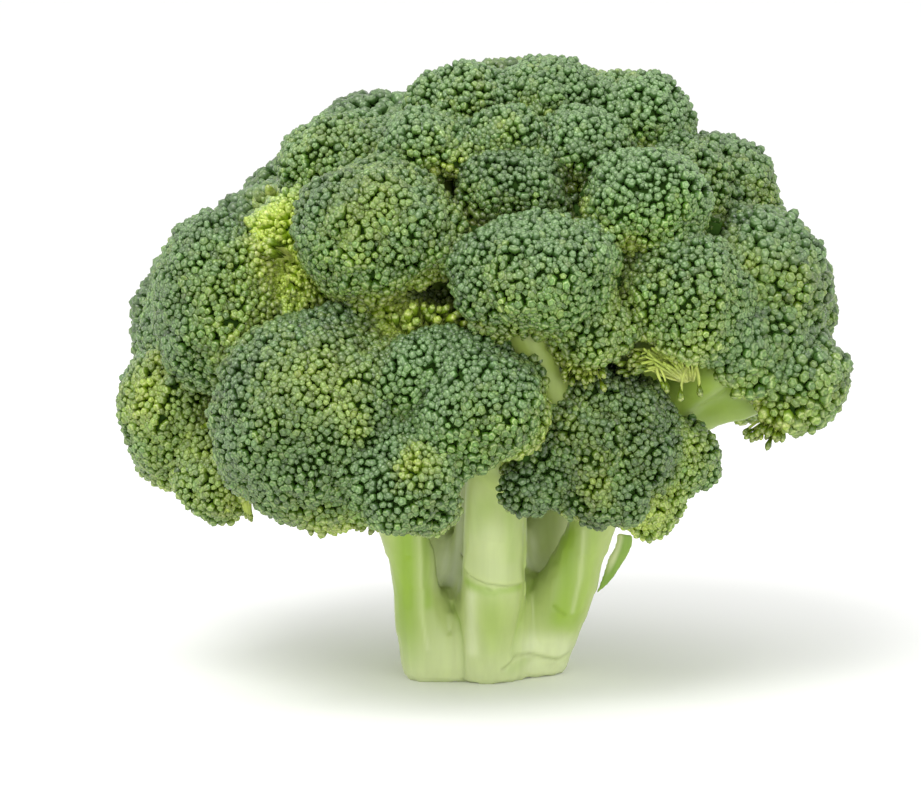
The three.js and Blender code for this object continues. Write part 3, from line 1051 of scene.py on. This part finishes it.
@dataclass(frozen=True)
class Buds:
    """The buds that cover every floret, and the bunches that they stand in."""

    plump: float = 1.58  # a bud's width, in pitches
    # The outline of a bud from its tip to its foot, as radius and height in half widths.
    outline: Line = ((0.0, 1.12), (0.68, 0.76), (1.0, 0.0), (0.0, -2.3))
    sizes: Span = (0.72, 1.28)
    oval: float = 0.1
    young_from: float = 0.5  # above this youth a bud is taller
    young_tall: float = 0.25
    drawn_tall: float = 2.0
    drawn_slim: float = 0.2
    rounds: int = 9  # of pushing apart
    bunch_rounds: int = 6
    bunch_pitch: float = 5.6 * MM
    bunch_lift: float = 1.5 * MM
    bunch_spread: float = 0.46
    bunch_cap: float = 1.2
    jitter: float = 0.28 * MM
    lean: float = 0.16
    deepest: float = 0.35 * MM
    highest: float = 1.7 * MM
    # Open air is looked for in rings that lean this far off a bud's way up, and again in
    # flatter ones for a bud that sees too little of it.
    sky_leans: tuple[float, ...] = (0.0, 0.9)
    low_leans: tuple[float, ...] = (2.2, 5.0)
    least_sky: float = 0.1

    def template(self, sides: int) -> Mesh:
        """One bud, 2 across, with the share of its height stored at each vertex."""
        bm = bmesh.new()
        rings = len(self.outline) - 1
        bmesh.ops.create_uvsphere(bm, u_segments=sides, v_segments=rings, radius=1.0)
        heights = [0.0] * len(bm.verts)
        bm.verts.index_update()
        for vert in bm.verts:
            ring = round(math.acos(max(-1.0, min(1.0, vert.co.z))) / math.pi * rings)
            radius, height = self.outline[ring]
            flat = Vector((vert.co.x, vert.co.y, 0))
            vert.co = (flat.normalized() * radius if radius else Vector()) + Vector((0, 0, height))
            heights[vert.index] = 1 - ring / rings
        mesh = poured(bm, bpy.data.meshes.new("one_bud"))
        set_attribute(mesh, "height", np.array(heights))
        return mesh


@dataclass
class Floret:
    """One floret: the solid it stands for, its habit and its softened core."""

    name: str
    node: Object
    voxel: float = 3.0 * MM
    relaxing: int = 4
    habit: Habit = field(init=False)
    core: Object = field(init=False)
    middle: Vector = field(init=False)
    axis: Vector = field(init=False)

    def __post_init__(self) -> None:
        """Finds the floret's habit, its middle and the way it faces, and softens its core."""
        self.habit = HABITS.get(self.name, Habit())
        low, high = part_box(self.node.name)
        self.middle = (low + high) / 2
        self.axis = (self.middle - HEART).normalized()
        self.core = softened(self.node, self.name + "_core", self.voxel, self.relaxing)

    def facing(self, points: Array) -> Array:
        """How far each point lies round from the floret's axis, as a cosine."""
        return unit(points - np.array(self.middle)) @ np.array(self.axis)


@dataclass
class Skin:
    """The one outer surface of all the florets, pressed together as they grow."""

    florets: list[Floret]
    swell: float = 2.6 * MM
    voxel: float = 2.4 * MM
    relaxing: int = 2
    settle: float = 3.5 * MM
    settling: int = 2  # steps of settling
    press: float = 0.6 * MM
    clearance: float = 0.05 * MM
    lobe_pitch: float = 11.5 * MM
    lobe_rounds: int = 5
    lobe_lift: float = 2.3 * MM
    lobe_sizes: Span = (0.55, 1.2)
    lobe_cap: float = 1.25
    lobe_sink: float = 0.35
    parting: float = 2.7 * MM
    parting_width: float = 2.4 * MM
    crease: float = 0.25  # of a parting, within a mass
    outward: float = 0.3
    all_round: float = 84 * MM  # above this height buds grow on every side
    thickness: float = 0.9 * MM
    sky_reach: float = 14 * MM
    sky_start: float = 0.4 * MM
    sky_rays: int = 6  # in a ring
    obj: Object = field(init=False)
    surface: Surface = field(init=False)
    owner: Array = field(init=False)  # whose each triangle is
    polygon_owner: Array = field(init=False)
    nearest: BVHTree = field(init=False)
    core_owner: Array = field(init=False)

    def grow(self, rng: Generator) -> None:
        """Wraps the cores, raises the lobes and notes whose each part of the skin is."""
        self.gather_cores()
        self.wrap()
        self.survey()
        self.part()
        self.survey()
        self.raise_lobes(rng)
        self.survey()
        of_polygon = numbers_of(self.obj.data.loop_triangles, "polygon_index", 1, np.int32)[:, 0]
        self.polygon_owner = np.zeros(len(self.obj.data.polygons), int)
        self.polygon_owner[of_polygon] = self.owner

    def gather_cores(self) -> None:
        """Makes all the cores ready for nearest points, and notes whose each triangle is."""
        points, triangles, owners, start = [], [], [], 0
        for k, floret in enumerate(self.florets):
            mesh = floret.core.data
            own = triangles_of(mesh)
            points.append(points_of(mesh))
            triangles.append(own + start)
            owners.append(np.full(len(own), k))
            start += len(mesh.vertices)
        self.nearest = BVHTree.FromPolygons(
            np.concatenate(points).tolist(), np.concatenate(triangles).tolist()
        )
        self.core_owner = np.concatenate(owners)

    def wrap(self) -> None:
        """Swells the cores into one skin, lets it settle and moves it where it is pushed."""
        copies = []
        for floret in self.florets:
            copy = new_object("swollen", floret.core.data.copy())
            move_points(copy.data, points_of(copy.data) + self.swell * normals_of(copy.data))
            copies.append(copy)
        self.obj = joined("skin", copies)
        remesh(self.obj, self.voxel)
        mesh = self.obj.data
        relax(mesh, self.relaxing)
        for _ in range(self.settling):
            move_points(mesh, points_of(mesh) - self.settle / self.settling * normals_of(mesh))
            relax(mesh, 1)
        for push in PUSHES:
            points = points_of(mesh)
            move_points(mesh, points + push.weight(points)[:, None] * np.array(push.move) * MM)
        # Where thin flesh was drawn through itself, a new net makes it whole again.
        remesh(self.obj, self.voxel)
        relax(self.obj.data, 1)

    def survey(self) -> None:
        """Reads the skin again and closes what a neighbour hides or the rim covers."""
        surface = self.surface = Surface(self.obj.data)
        faces = [self.nearest.find_nearest(place)[2] for place in surface.centres]
        self.owner = self.core_owner[faces]
        surface.open[:] = False
        for k, floret in enumerate(self.florets):
            mine = self.owner == k
            surface.open[mine] = floret.facing(surface.centres[mine]) > floret.habit.rim
        out = unit(surface.centres - np.array(HEART))
        surface.open |= (surface.normals * out).sum(axis=1) > self.outward
        surface.open |= surface.centres[:, 2] > self.all_round
        for k in np.nonzero(surface.open)[0]:
            way = Vector(surface.normals[k])
            start = Vector(surface.centres[k]) + way * self.clearance
            if surface.tree.ray_cast(start, way, self.press)[0] is not None:
                surface.open[k] = False

    def part(self) -> None:
        """Draws the skin in where florets meet."""
        names = [floret.name for floret in self.florets]
        mass = {name: k for k, group in enumerate(MASSES) for name in group}
        masses = np.array([mass.get(name, len(MASSES) + k) for k, name in enumerate(names)])
        mesh = self.obj.data
        depth = np.zeros(len(mesh.vertices))
        for whose, share in ((self.owner, self.crease), (masses[self.owner], 1.0)):
            low = np.full(len(mesh.vertices), len(names) + len(MASSES))
            high = np.zeros(len(mesh.vertices), int)
            for corner in self.surface.triangles.T:
                np.minimum.at(low, corner, whose)
                np.maximum.at(high, corner, whose)
            _near, off = nearest_of(self.surface.points, self.surface.points[low != high])
            depth = np.maximum(depth, share * np.exp(-((off / self.parting_width) ** 2)))
        move_points(mesh, self.surface.points - (self.parting * depth)[:, None] * normals_of(mesh))

    def raise_lobes(self, rng: Generator) -> None:
        """Lifts the skin into rounded lobes with creases between them."""
        pitch = np.full(len(self.owner), self.lobe_pitch)
        hubs, _ways, _faces = self.surface.sow(pitch, rng, self.lobe_rounds)
        lifts = self.lobe_lift * rng.uniform(*self.lobe_sizes, len(hubs))
        points = points_of(self.obj.data)
        near, off = nearest_of(points, hubs)
        dome = 1 - np.minimum(off / (DOME * self.lobe_pitch), self.lobe_cap) ** 2
        lift = (lifts[near] * (dome - self.lobe_sink))[:, None]
        move_points(self.obj.data, points + lift * normals_of(self.obj.data))

    def patch(self, k: int) -> Object:
        """One floret's share of the skin, as a closed shell."""
        copy = new_object("patch", self.obj.data.copy())
        bm = opened(copy.data)
        bm.faces.ensure_lookup_table()
        others = [bm.faces[f] for f in np.nonzero(self.polygon_owner != k)[0]]
        bmesh.ops.delete(bm, geom=others, context="FACES")
        poured(bm, copy.data)
        wall = copy.modifiers.new("wall", "SOLIDIFY")
        wall.thickness = self.thickness
        wall.offset = -1
        apply_modifiers(copy)
        return copy

    def sky(self, sites: Array, ways: Array, leans: tuple[float, ...]) -> Array:
        """How much open air each site sees, from 0 to 1, in rings that lean off its normal."""
        rays = [
            (math.tau * k / self.sky_rays, lean)
            for lean in leans
            for k in range(self.sky_rays if lean else 1)
        ]
        seen = np.zeros(len(sites))
        turns = turned_to(ways, np.zeros(len(ways)))
        starts = sites + ways * self.sky_start
        for angle, out in rays:
            local = unit(np.array([out * math.cos(angle), out * math.sin(angle), 1.0]))
            for k, way in enumerate(turns @ local):
                if self.surface.tree.ray_cast(starts[k], way, self.sky_reach)[0] is None:
                    seen[k] += 1 / len(rays)
        return seen


@dataclass(frozen=True)
class Causes:
    """How much each cause adds to one tint of the buds."""

    sky: float  # the open air that a bud sees, beyond the usual
    edge: float  # its distance from its bunch's middle, beyond the usual
    drift: float  # slow waves over the head
    chance: float
    usual_sky: float = 0.7
    usual_share: float = 0.6

    def total(self, sown: "Sown", drift: Array) -> Array:
        """What all of them but chance add to each bud."""
        edge = self.edge * (sown.share - self.usual_share)
        return self.sky * (sown.sky - self.usual_sky) + edge + self.drift * drift


@dataclass
class Sown:
    """Where each bud of the crown stands and what it is like, one row or number each."""

    owner: Array  # the number of its floret
    sites: Array
    ways: Array  # the skin's normals
    share: Array  # its distance from its bunch's middle, 1 at the bunch's edge
    sky: Array
    drawn: Array
    lift: Array
    axes: Array
    size: Array
    oval: Array
    spin: Array
    tints: dict[str, Array] = field(default_factory=dict)


@dataclass
class Crown:
    """All the florets of the head."""

    nodes: dict[str, Object]
    palette: Palette
    limits: Array  # the low and the high corner of the box that no bud leaves
    buds: Buds = Buds()
    stems: Stems = Stems()
    youth: Causes = Causes(sky=-0.3, edge=0.15, drift=0.16, chance=0.1)
    # Painted shade: buds lighter where they see more open air and darker at their bunch's edge.
    tone: Causes = Causes(sky=0.55, edge=-0.3, drift=0.12, chance=0.2, usual_sky=0.75)
    # Buds that see more open air are waxier: partly real bloom, partly painted top light.
    wax: Causes = Causes(sky=0.3, edge=0.0, drift=-0.25, chance=0.12)
    middle_tone: float = 0.5
    young_below: Span = (0.0, -0.5)  # cosines off a floret's axis
    youth_below: float = 0.45
    young_tone: float = 0.38
    # Buds that face up are waxier: partly real bloom, partly painted top light.
    bloom_and_top_light_above: Span = (-0.6, 0.9)  # heights of the skin's normal
    under_below: Span = (-0.3, -0.5)
    under_facing: Span = (-0.2, -0.6)
    drift_length: float = 30 * MM
    drift_lengths: Span = (0.5, 1.5)
    drift_waves: int = 6
    seed: int = 11

    def build(self) -> list[Object]:
        """Wraps the florets in one skin, covers it with buds and returns the pieces."""
        rng = np.random.default_rng(self.seed)
        names = sorted(n for n in self.nodes if n.startswith("floret_"))
        florets = [Floret(n.removeprefix("floret_"), self.nodes[n]) for n in names]
        skin = Skin(florets)
        skin.grow(rng)
        sown = self.sow_buds(skin, rng)
        self.tint_buds(skin, sown, rng)
        templates = {grain: self.buds.template(grain.sides) for grain in Grain}
        pieces = []
        for k, floret in enumerate(florets):
            bud = templates[floret.habit.grain]
            parts = [skin.patch(k), *self.stamp(floret, bud, sown, sown.owner == k)]
            for fan in FANS:
                if fan.floret == floret.name:
                    parts += self.stems.grow(fan, rng, bud, self.palette)
            pieces.append(self.finish(floret, parts))
        bpy.data.objects.remove(skin.obj)
        log.info("crown: %d florets, %d buds", len(florets), len(sown.owner))
        return pieces

    def sow_buds(self, skin: Skin, rng: Generator) -> Sown:
        """Settles where each bud stands, which bunch it is in and how it leans."""
        buds = self.buds
        pitch = np.array([floret.habit.grain.pitch for floret in skin.florets])[skin.owner]
        sites, ways, faces = skin.surface.sow(pitch, rng, buds.rounds)
        sky = skin.sky(sites, ways, buds.sky_leans)
        seen = sky > buds.least_sky
        seen[~seen] = skin.sky(sites[~seen], ways[~seen], buds.low_leans) > 0
        sites, ways, faces, sky = sites[seen], ways[seen], faces[seen], sky[seen]
        bunches = np.full(len(pitch), buds.bunch_pitch)
        hubs, _ways, _faces = skin.surface.sow(bunches, rng, buds.bunch_rounds)
        count = len(sites)
        near, off = nearest_of(sites, hubs)
        share = off / (DOME * buds.bunch_pitch)
        out = (sites - hubs[near]) / (DOME * buds.bunch_pitch)
        lift = buds.bunch_lift * (1 - np.minimum(share, buds.bunch_cap) ** 2)
        lift += rng.normal(0, buds.jitter, count)
        drawn = np.zeros(count)
        for flush in FLUSHES:
            drawn = np.maximum(drawn, flush.drawn * flush.weight(sites))
        return Sown(
            owner=skin.owner[faces],
            sites=sites,
            ways=ways,
            share=share,
            sky=sky,
            drawn=drawn,
            lift=np.clip(lift, -buds.deepest, buds.highest) * (1 - drawn),
            axes=unit(ways + buds.bunch_spread * out + rng.normal(0, buds.lean, (count, 3))),
            size=buds.plump * pitch[faces] / 2 * rng.uniform(*buds.sizes, count),
            oval=1 + rng.normal(0, buds.oval, count),
            spin=rng.uniform(0, math.tau, count),
        )

    def tint_buds(self, skin: Skin, sown: Sown, rng: Generator) -> None:
        """Settles how young, how light and how waxy each bud is, with painted light and shade in
        its lightness and painted top light in its waxiness.
        """
        count = len(sown.sites)
        facing, base, light = np.empty((3, count))
        for k, floret in enumerate(skin.florets):
            mine = sown.owner == k
            facing[mine] = floret.facing(sown.sites[mine])
            base[mine] = floret.habit.youth
            light[mine] = floret.habit.light
        drift = self.drift(sown.sites, rng)
        youth = base + self.youth_below * smooth_step(*self.young_below, facing)
        youth += self.youth.total(sown, drift) + rng.normal(0, self.youth.chance, count)
        for flush in FLUSHES:
            youth += flush.strength * flush.weight(sown.sites)
            # painted light on the young buds in the clefts
            light += flush.light * flush.weight(sown.sites)
        # Painted shade on the buds in the hollows.
        for push in PUSHES:
            light -= push.painted_shade(sown.sites)
        youth = np.clip(youth, 0, 1)
        tone = self.middle_tone + light + self.young_tone * youth
        tone += rng.normal(0, self.tone.chance, count)
        # Painted shade from the open air each bud sees and its place in its bunch, with slow
        # random waves.
        tone += self.tone.total(sown, self.drift(sown.sites, rng))
        # Waxier on buds that face up: partly real bloom, partly painted top light.
        wax = smooth_step(*self.bloom_and_top_light_above, sown.ways[:, 2]) + self.wax.total(sown, drift)
        wax += rng.normal(0, self.wax.chance, count)
        sown.tints = {
            "youth": youth,
            "tone": np.clip(tone, 0, LIGHTEST),
            "wax": np.clip(wax, 0, 1),
        }

    def drift(self, sites: Array, rng: Generator) -> Array:
        """A slow random wave over the head, about 1 high, at each site."""
        total = np.zeros(len(sites))
        for _ in range(self.drift_waves):
            way = unit(rng.normal(0, 1, 3)) * math.tau
            way /= self.drift_length * rng.uniform(*self.drift_lengths)
            total += np.sin(sites @ way + rng.uniform(0, math.tau))
        return total / math.sqrt(self.drift_waves)

    def stamp(self, floret: Floret, bud: Mesh, sown: Sown, mine: Array) -> list[Object]:
        """The buds of one floret as one object, if it has any.

        Args:
            floret: The floret.
            bud: The bud to copy.
            sown: All the buds of the crown.
            mine: Which of them are this floret's.

        Returns:
            The object, or nothing.
        """
        if not mine.any():
            return []
        buds = self.buds
        size, drawn, oval, axes = (a[mine] for a in (sown.size, sown.drawn, sown.oval, sown.axes))
        young = smooth_step(buds.young_from, 1.0, sown.tints["youth"][mine])
        tall = size * (1 + buds.young_tall * young + buds.drawn_tall * drawn)
        slim = size * (1 - buds.drawn_slim * drawn)
        scale = np.stack((slim * oval, slim / oval, tall), axis=1)
        turn = turned_to(axes, sown.spin[mine])
        placed = set_out(bud, turn, scale, sown.sites[mine] + axes * sown.lift[mine, None])
        low, high = self.limits
        shift = np.maximum(low - placed.min(axis=1), 0) - np.maximum(placed.max(axis=1) - high, 0)
        placed += shift[:, None]
        tints = {name: values[mine] for name, values in sown.tints.items()}
        return [stamped(floret.name + "_buds", bud, placed, self.palette.bud, tints)]

    def finish(self, floret: Floret, parts: list[Object]) -> Object:
        """Joins the skin, buds and stems into the piece that stands for the solid."""
        flesh = parts[0].data
        under = smooth_step(*self.under_below, floret.facing(points_of(flesh)))
        under *= smooth_step(*self.under_facing, normals_of(flesh)[:, 2])
        set_attribute(flesh, "under", under)
        paint(parts[0], self.palette.core)
        bpy.data.objects.remove(floret.core)
        return hand_over(joined(floret.name, parts), floret.node)


# ---------------------------------------------------------------- stalk and leaf


@dataclass(frozen=True)
class Stroke:
    """A mark along the front of the stalk.

    Its line is points (x, z) in mm, seen from the front. It is width mm wide to each side and
    sinks depth mm into the skin, or stands out where that is negative. The tints say how
    strongly it colours the skin.
    """

    line: Line
    width: float
    depth: float = 0.0
    rib: float = 0.0
    white: float = 0.0
    scar: float = 0.0
    back: float = -3.0  # marks reach no further back than this y, in mm


@dataclass(frozen=True)
class Lip:
    """The edge of an old leaf's scar: the skin above the line stands out over it, in mm."""

    line: Line
    lift: float
    fade: float  # how far above the line the skin is back at its level


STROKES = (
    # Grooves between the left and the front limb, and between the front and the right one, greener
    # and darker along them: painted shade in the creases.
    Stroke(
        ((-6.8, 17.5), (-5.3, 14.4), (-4.6, 10.4), (-4.1, 1.9), (-4.1, -1.0)), 0.5, 0.5,
        rib=0.4,
    ),
    Stroke(((10.2, 38.0), (10.2, 20.2), (9.1, 15.1), (8.0, 10.4), (7.3, 6.6)), 0.8, 0.7, rib=0.4),
    # Paler in the hollows on both sides of the front limb: painted light against their shade.
    Stroke(((-8.6, 50.0), (-8.4, 24.0)), 3.0, white=1.0, back=40.0),
    Stroke(((12.0, 50.0), (11.6, 30.0)), 2.4, white=0.5, back=40.0),
    # The left limb's bright strips, with a pale ridge between them.
    Stroke(((-17.2, 37.0), (-17.2, 20.0), (-16.2, 6.0)), 3.3, 0.15, rib=0.85),
    Stroke(((-16.4, 34.0), (-16.4, 18.0)), 1.2, rib=0.35),
    Stroke(((-13.7, 36.0), (-13.4, 16.0), (-12.0, 8.0)), 0.5, -0.15, white=0.3),
    Stroke(((-12.2, 36.0), (-11.9, 18.0)), 1.2, rib=0.75),
    # The front limb: a greener middle under the lip, pale sides.
    Stroke(((2.2, 21.5), (2.4, 9.0)), 2.9, 0.15, rib=0.42),
    Stroke(((-2.4, 21.0), (-2.0, 8.0)), 1.3, white=0.7),
    Stroke(((1.6, 35.0), (2.6, 25.0)), 4.5, white=0.5),
    Stroke(((0.6, 42.0), (-0.9, 37.0)), 2.4, rib=0.35),
    Stroke(((6.0, 44.0), (6.6, 30.0)), 1.2, rib=0.35),
    # The ragged band under the lip.
    Stroke(((-3.8, 24.2), (-1.4, 23.1), (1.0, 22.6)), 1.0, 0.3, rib=1.0),
    Stroke(((1.0, 22.6), (2.8, 22.0), (3.6, 22.6)), 0.7, 0.3, rib=0.9),
    Stroke(((4.6, 22.6), (6.6, 22.7), (8.6, 22.9)), 0.7, 0.25, rib=0.9),
    Stroke(((-4.3, 28.0), (-4.2, 27.7)), 0.35, 0.3, scar=1.0),
    Stroke(
        ((-4.2, 27.7), (-2.4, 25.9), (0.5, 24.5), (4.2, 23.9), (8.9, 23.7)), 0.32, 0.3,
        scar=0.25,
    ),
    # The right limb: a broad green strip, a pale line, a greener edge and a small dash.
    Stroke(((19.4, 34.0), (19.1, 22.0), (17.6, 14.0)), 2.8, 0.1, rib=0.9),
    Stroke(((22.8, 35.0), (22.0, 24.0), (20.4, 16.0)), 0.5, -0.1, white=0.4),
    Stroke(((25.2, 36.0), (24.0, 24.0), (20.6, 12.0)), 1.7, rib=0.5),
    Stroke(((16.3, 17.4), (17.3, 16.3), (18.6, 15.4)), 0.45, 0.2, rib=0.6, scar=0.25),
    Stroke(((11.6, 8.4), (18.1, 7.6)), 2.6, white=0.8),
    Stroke(((10.6, 19.8), (11.8, 23.6), (13.8, 26.0), (16.4, 27.6)), 0.6, 0.35, rib=0.3),
    # The scar at the right of the foot.
    Stroke(
        ((4.9, 3.6), (8.2, 6.5), (10.6, 6.3), (14.4, 5.0), (17.3, 4.3), (19.6, 5.3)), 0.4, 0.35,
        scar=0.2, rib=0.3,
    ),
    Stroke(((6.8, 3.0), (9.8, 4.4)), 1.3, 0.2, rib=0.85),
    Stroke(((12.1, 2.8), (17.6, 1.8)), 1.4, 0.25, white=0.9),
)

LIPS = (
    Lip(((-4.2, 27.8), (-2.4, 26.0), (0.5, 24.6), (4.2, 24.0), (8.9, 23.8)), 0.75, 6.0),
    Lip(((4.9, 3.8), (8.2, 6.6), (10.6, 6.4), (14.4, 5.1), (17.3, 4.4), (19.2, 5.2)), 0.25, 3.0),
)


def distance_to_line(places: Array, line: Array) -> Array:
    """How far each place is from a line of points, both in the same two measures."""
    best = np.full(len(places), np.inf)
    for a, b in zip(line[:-1], line[1:]):
        way = b - a
        t = np.clip(((places - a) @ way) / max(way @ way, TINY), 0, 1)
        best = np.minimum(best, np.linalg.norm(places - a - t[:, None] * way, axis=1))
    return best


@dataclass
class Stalk:
    """The stalk with its limbs, grown together at the foot."""

    node: Object
    voxel: float = 2.3 * MM
    rounds: int = 4
    swell: float = 0.9 * MM
    splits: int = 2  # of the edges where the marks go
    fine_height: float = 40 * MM
    fine_back: float = -3 * MM
    front_facing: Span = (0.1, 0.5)
    lip_ends: Span = (0.8, 0.5)  # how soft a lip ends, outwards and inwards
    lip_edge: Span = (-0.25, 0.35)
    lip_top: float = 0.5
    # painted light: paler towards the foot, where the crown's shadow falls
    foot_painted_light: float = 0.7
    foot_top: float = 16 * MM
    # greener and darker high on the limbs: partly their own colour, partly painted shade under the
    # crown
    limb_green_and_shade: float = 0.8
    limb_span: Span = (46 * MM, 66 * MM)

    def build(self, palette: Palette) -> list[Object]:
        """Makes the soft skin over the solid, marks it and paints it."""
        piece = softened(self.node, "stalk_skin", self.voxel, self.rounds)
        self.set_points(piece.data, points_of(piece.data) + self.swell * normals_of(piece.data))
        for _ in range(self.splits):
            self.refine_front(piece.data)
        relax(piece.data, 1)
        self.set_points(piece.data, points_of(piece.data))
        self.mark(piece.data)
        paint(piece, palette.stalk)
        return [hand_over(piece, self.node)]

    @staticmethod
    def set_points(mesh: Mesh, points: Array) -> None:
        """Moves the vertices, and keeps the cut face flat on the surface."""
        points[:, 2] = np.maximum(points[:, 2], 0)
        move_points(mesh, points)

    def is_front(self, vert: BMVert) -> bool:
        """Whether the vertex lies where the marks go."""
        low, back = vert.co.z < self.fine_height, vert.co.y < self.fine_back
        return low and back and vert.normal.y < self.front_facing[0]

    def refine_front(self, mesh: Mesh) -> None:
        """Splits the edges of the foot's front in two, where the marks go."""
        bm = opened(mesh)
        fine = [edge for edge in bm.edges if all(self.is_front(vert) for vert in edge.verts)]
        bmesh.ops.subdivide_edges(bm, edges=fine, cuts=1, use_grid_fill=True)
        poured(bm, mesh)

    def lip_rise(self, lip: Lip, seen: Array) -> Array:
        """How far a lip lifts each place (x, z) in mm, seen from the front."""
        line = np.array(lip.line)
        above = seen[:, 1] - np.interp(seen[:, 0], line[:, 0], line[:, 1])
        outer, inner = self.lip_ends
        across = smooth_step(line[0, 0] - outer, line[0, 0] + inner, seen[:, 0])
        across *= smooth_step(line[-1, 0] + outer, line[-1, 0] - inner, seen[:, 0])
        rise = smooth_step(*self.lip_edge, above) * smooth_step(lip.fade, self.lip_top, above)
        return lip.lift * rise * across

    def mark(self, mesh: Mesh) -> None:
        """Carves the marks into the skin and stores their tints."""
        points = points_of(mesh)
        normals = normals_of(mesh)
        front = smooth_step(*self.front_facing, -normals[:, 1])
        seen = points[:, [0, 2]] / MM
        move = np.zeros(len(points))
        tints = {name: np.zeros(len(points)) for name in ("rib", "white", "scar")}
        for lip in LIPS:
            move += self.lip_rise(lip, seen) * front * (points[:, 1] < self.fine_back)
        for stroke in STROKES:
            off = distance_to_line(seen, np.array(stroke.line)) / stroke.width
            weight = np.exp(-(off**2)) * front * (points[:, 1] < stroke.back * MM)
            move -= stroke.depth * weight
            for name, tint in tints.items():
                tint += getattr(stroke, name) * weight
        self.set_points(mesh, points + (move * MM)[:, None] * normals)
        # Painted light at the foot, paler where the crown's shadow falls.
        tints["white"] += self.foot_painted_light * smooth_step(self.foot_top, 0, points[:, 2])
        # Greener and darker high on the limbs: partly their own colour, partly painted shade under
        # the crown.
        tints["rib"] += self.limb_green_and_shade * smooth_step(*self.limb_span, points[:, 2])
        for name, tint in tints.items():
            set_attribute(mesh, name, np.clip(tint, 0, 1))


@dataclass
class SideLeaf:
    """The small leaf left on the stalk's side."""

    node: Object
    voxel: float = 0.4 * MM
    rounds: int = 3
    bend: int = 2  # the order of the curve that its spine follows
    narrow: float = 0.35  # how much slimmer its foot is than its tip
    inner_edge: Span = (0.0, -1.2 * MM)
    inner_above: Span = (0.2, 0.6)

    def build(self, palette: Palette) -> list[Object]:
        """Makes the thin blade, slim at its foot and pale towards the stalk."""
        piece = softened(self.node, "leaf_blade", self.voxel, self.rounds)
        points = points_of(piece.data)
        rise = points[:, 2]
        lean = np.polynomial.polynomial.polyfit(rise, points[:, 0], self.bend)
        spine = np.polynomial.polynomial.polyval(rise, lean)
        off = points[:, 0] - spine
        share = (rise - rise.min()) / (rise.max() - rise.min())
        points[:, 0] = spine + off * (1 - self.narrow * (1 - share))
        move_points(piece.data, points)
        inner = smooth_step(*self.inner_edge, off) * smooth_step(*self.inner_above, share)
        set_attribute(piece.data, "inner", inner)
        paint(piece, palette.leaf)
        return [hand_over(piece, self.node)]


# ---------------------------------------------------------------- studio


@dataclass(frozen=True)
class Lamp:
    """A square soft light that faces the head: its place, width in metres and power in W."""

    name: str
    place: Place
    size: float
    power: float


@dataclass
class Studio:
    """The pale floor, the soft light and the camera."""

    target: Vector = Vector((-4.68, -1.38, 63.6)) * MM
    distance: float = 0.9
    elevation: float = math.radians(8)
    lens: float = 156.3
    sensor: float = 36.0
    floor_half: float = 4.0
    floor_color: Color = (0.93, 0.93, 0.92, 1)
    floor_gloss: Gloss = Gloss(roughness=0.9, specular=0.1, subsurface=0.0)
    sky_color: Color = (1, 1, 1, 1)
    sky_light: float = 1.08
    lamps: tuple[Lamp, ...] = (
        Lamp("key", (-0.4, -0.75, 1.1), 0.75, 10.5),
        Lamp("fill", (0.35, -1.0, 0.12), 0.7, 3.0),
    )

    def build(self) -> None:
        """Sets up everything round the head."""
        self.lay_floor()
        self.hang_lights()
        self.set_camera()

    def lay_floor(self) -> None:
        """A wide plain floor."""
        bm = bmesh.new()
        bmesh.ops.create_grid(bm, x_segments=1, y_segments=1, size=self.floor_half)
        floor = new_object("floor", poured(bm, bpy.data.meshes.new("floor"), smooth=False))
        material, _nodes, shader = new_material("floor", self.floor_gloss)
        shader.inputs["Base Color"].default_value = self.floor_color
        floor.data.materials.append(material)
        floor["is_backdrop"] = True

    def hang_lights(self) -> None:
        """A large soft light high on the left, a weaker one on the right, and a pale sky."""
        world = bpy.data.worlds.new("sky")
        bpy.context.scene.world = world
        world.use_nodes = True
        sky = world.node_tree.nodes["Background"].inputs
        sky["Color"].default_value = self.sky_color
        sky["Strength"].default_value = self.sky_light
        for lamp in self.lamps:
            light = bpy.data.lights.new(lamp.name, "AREA")
            light.size = lamp.size
            light.energy = lamp.power
            self.aim(new_object(lamp.name, light), Vector(lamp.place))
        bpy.context.scene.view_settings.view_transform = "Standard"

    def aim(self, obj: Object, place: Vector) -> None:
        """Puts a lamp or the camera at the place, turned to the target."""
        obj.location = place
        obj.rotation_euler = (self.target - place).to_track_quat("-Z", "Y").to_euler()

    def set_camera(self) -> None:
        """The camera, a little above the middle of the head."""
        data = bpy.data.cameras.new("camera")
        data.lens = self.lens
        data.sensor_width = self.sensor
        camera = new_object("camera", data)
        back = Vector((0, -math.cos(self.elevation), math.sin(self.elevation)))
        self.aim(camera, self.target + back * self.distance)
        bpy.context.scene.camera = camera


# ---------------------------------------------------------------- the head


def corners(bounds: tuple) -> list[list[float]]:
    """A box's corners as plain lists of numbers."""
    return [[float(x) for x in corner] for corner in bounds]


def main() -> None:
    """Builds the head over its frame."""
    logging.basicConfig(level=logging.INFO, format="%(message)s")
    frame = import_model()
    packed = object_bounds()
    nodes = frame["nodes"]
    palette = Palette.mixed()
    pieces = Stalk(nodes["stalk"]).build(palette)
    pieces += Crown(nodes, palette, np.array(corners(packed))).build()
    pieces += SideLeaf(nodes["side_leaf"]).build(palette)
    for piece in pieces:
        log.info("%s: %d faces", piece.name, len(piece.data.polygons))
    Studio().build()


if __name__ == "__main__":
    main()
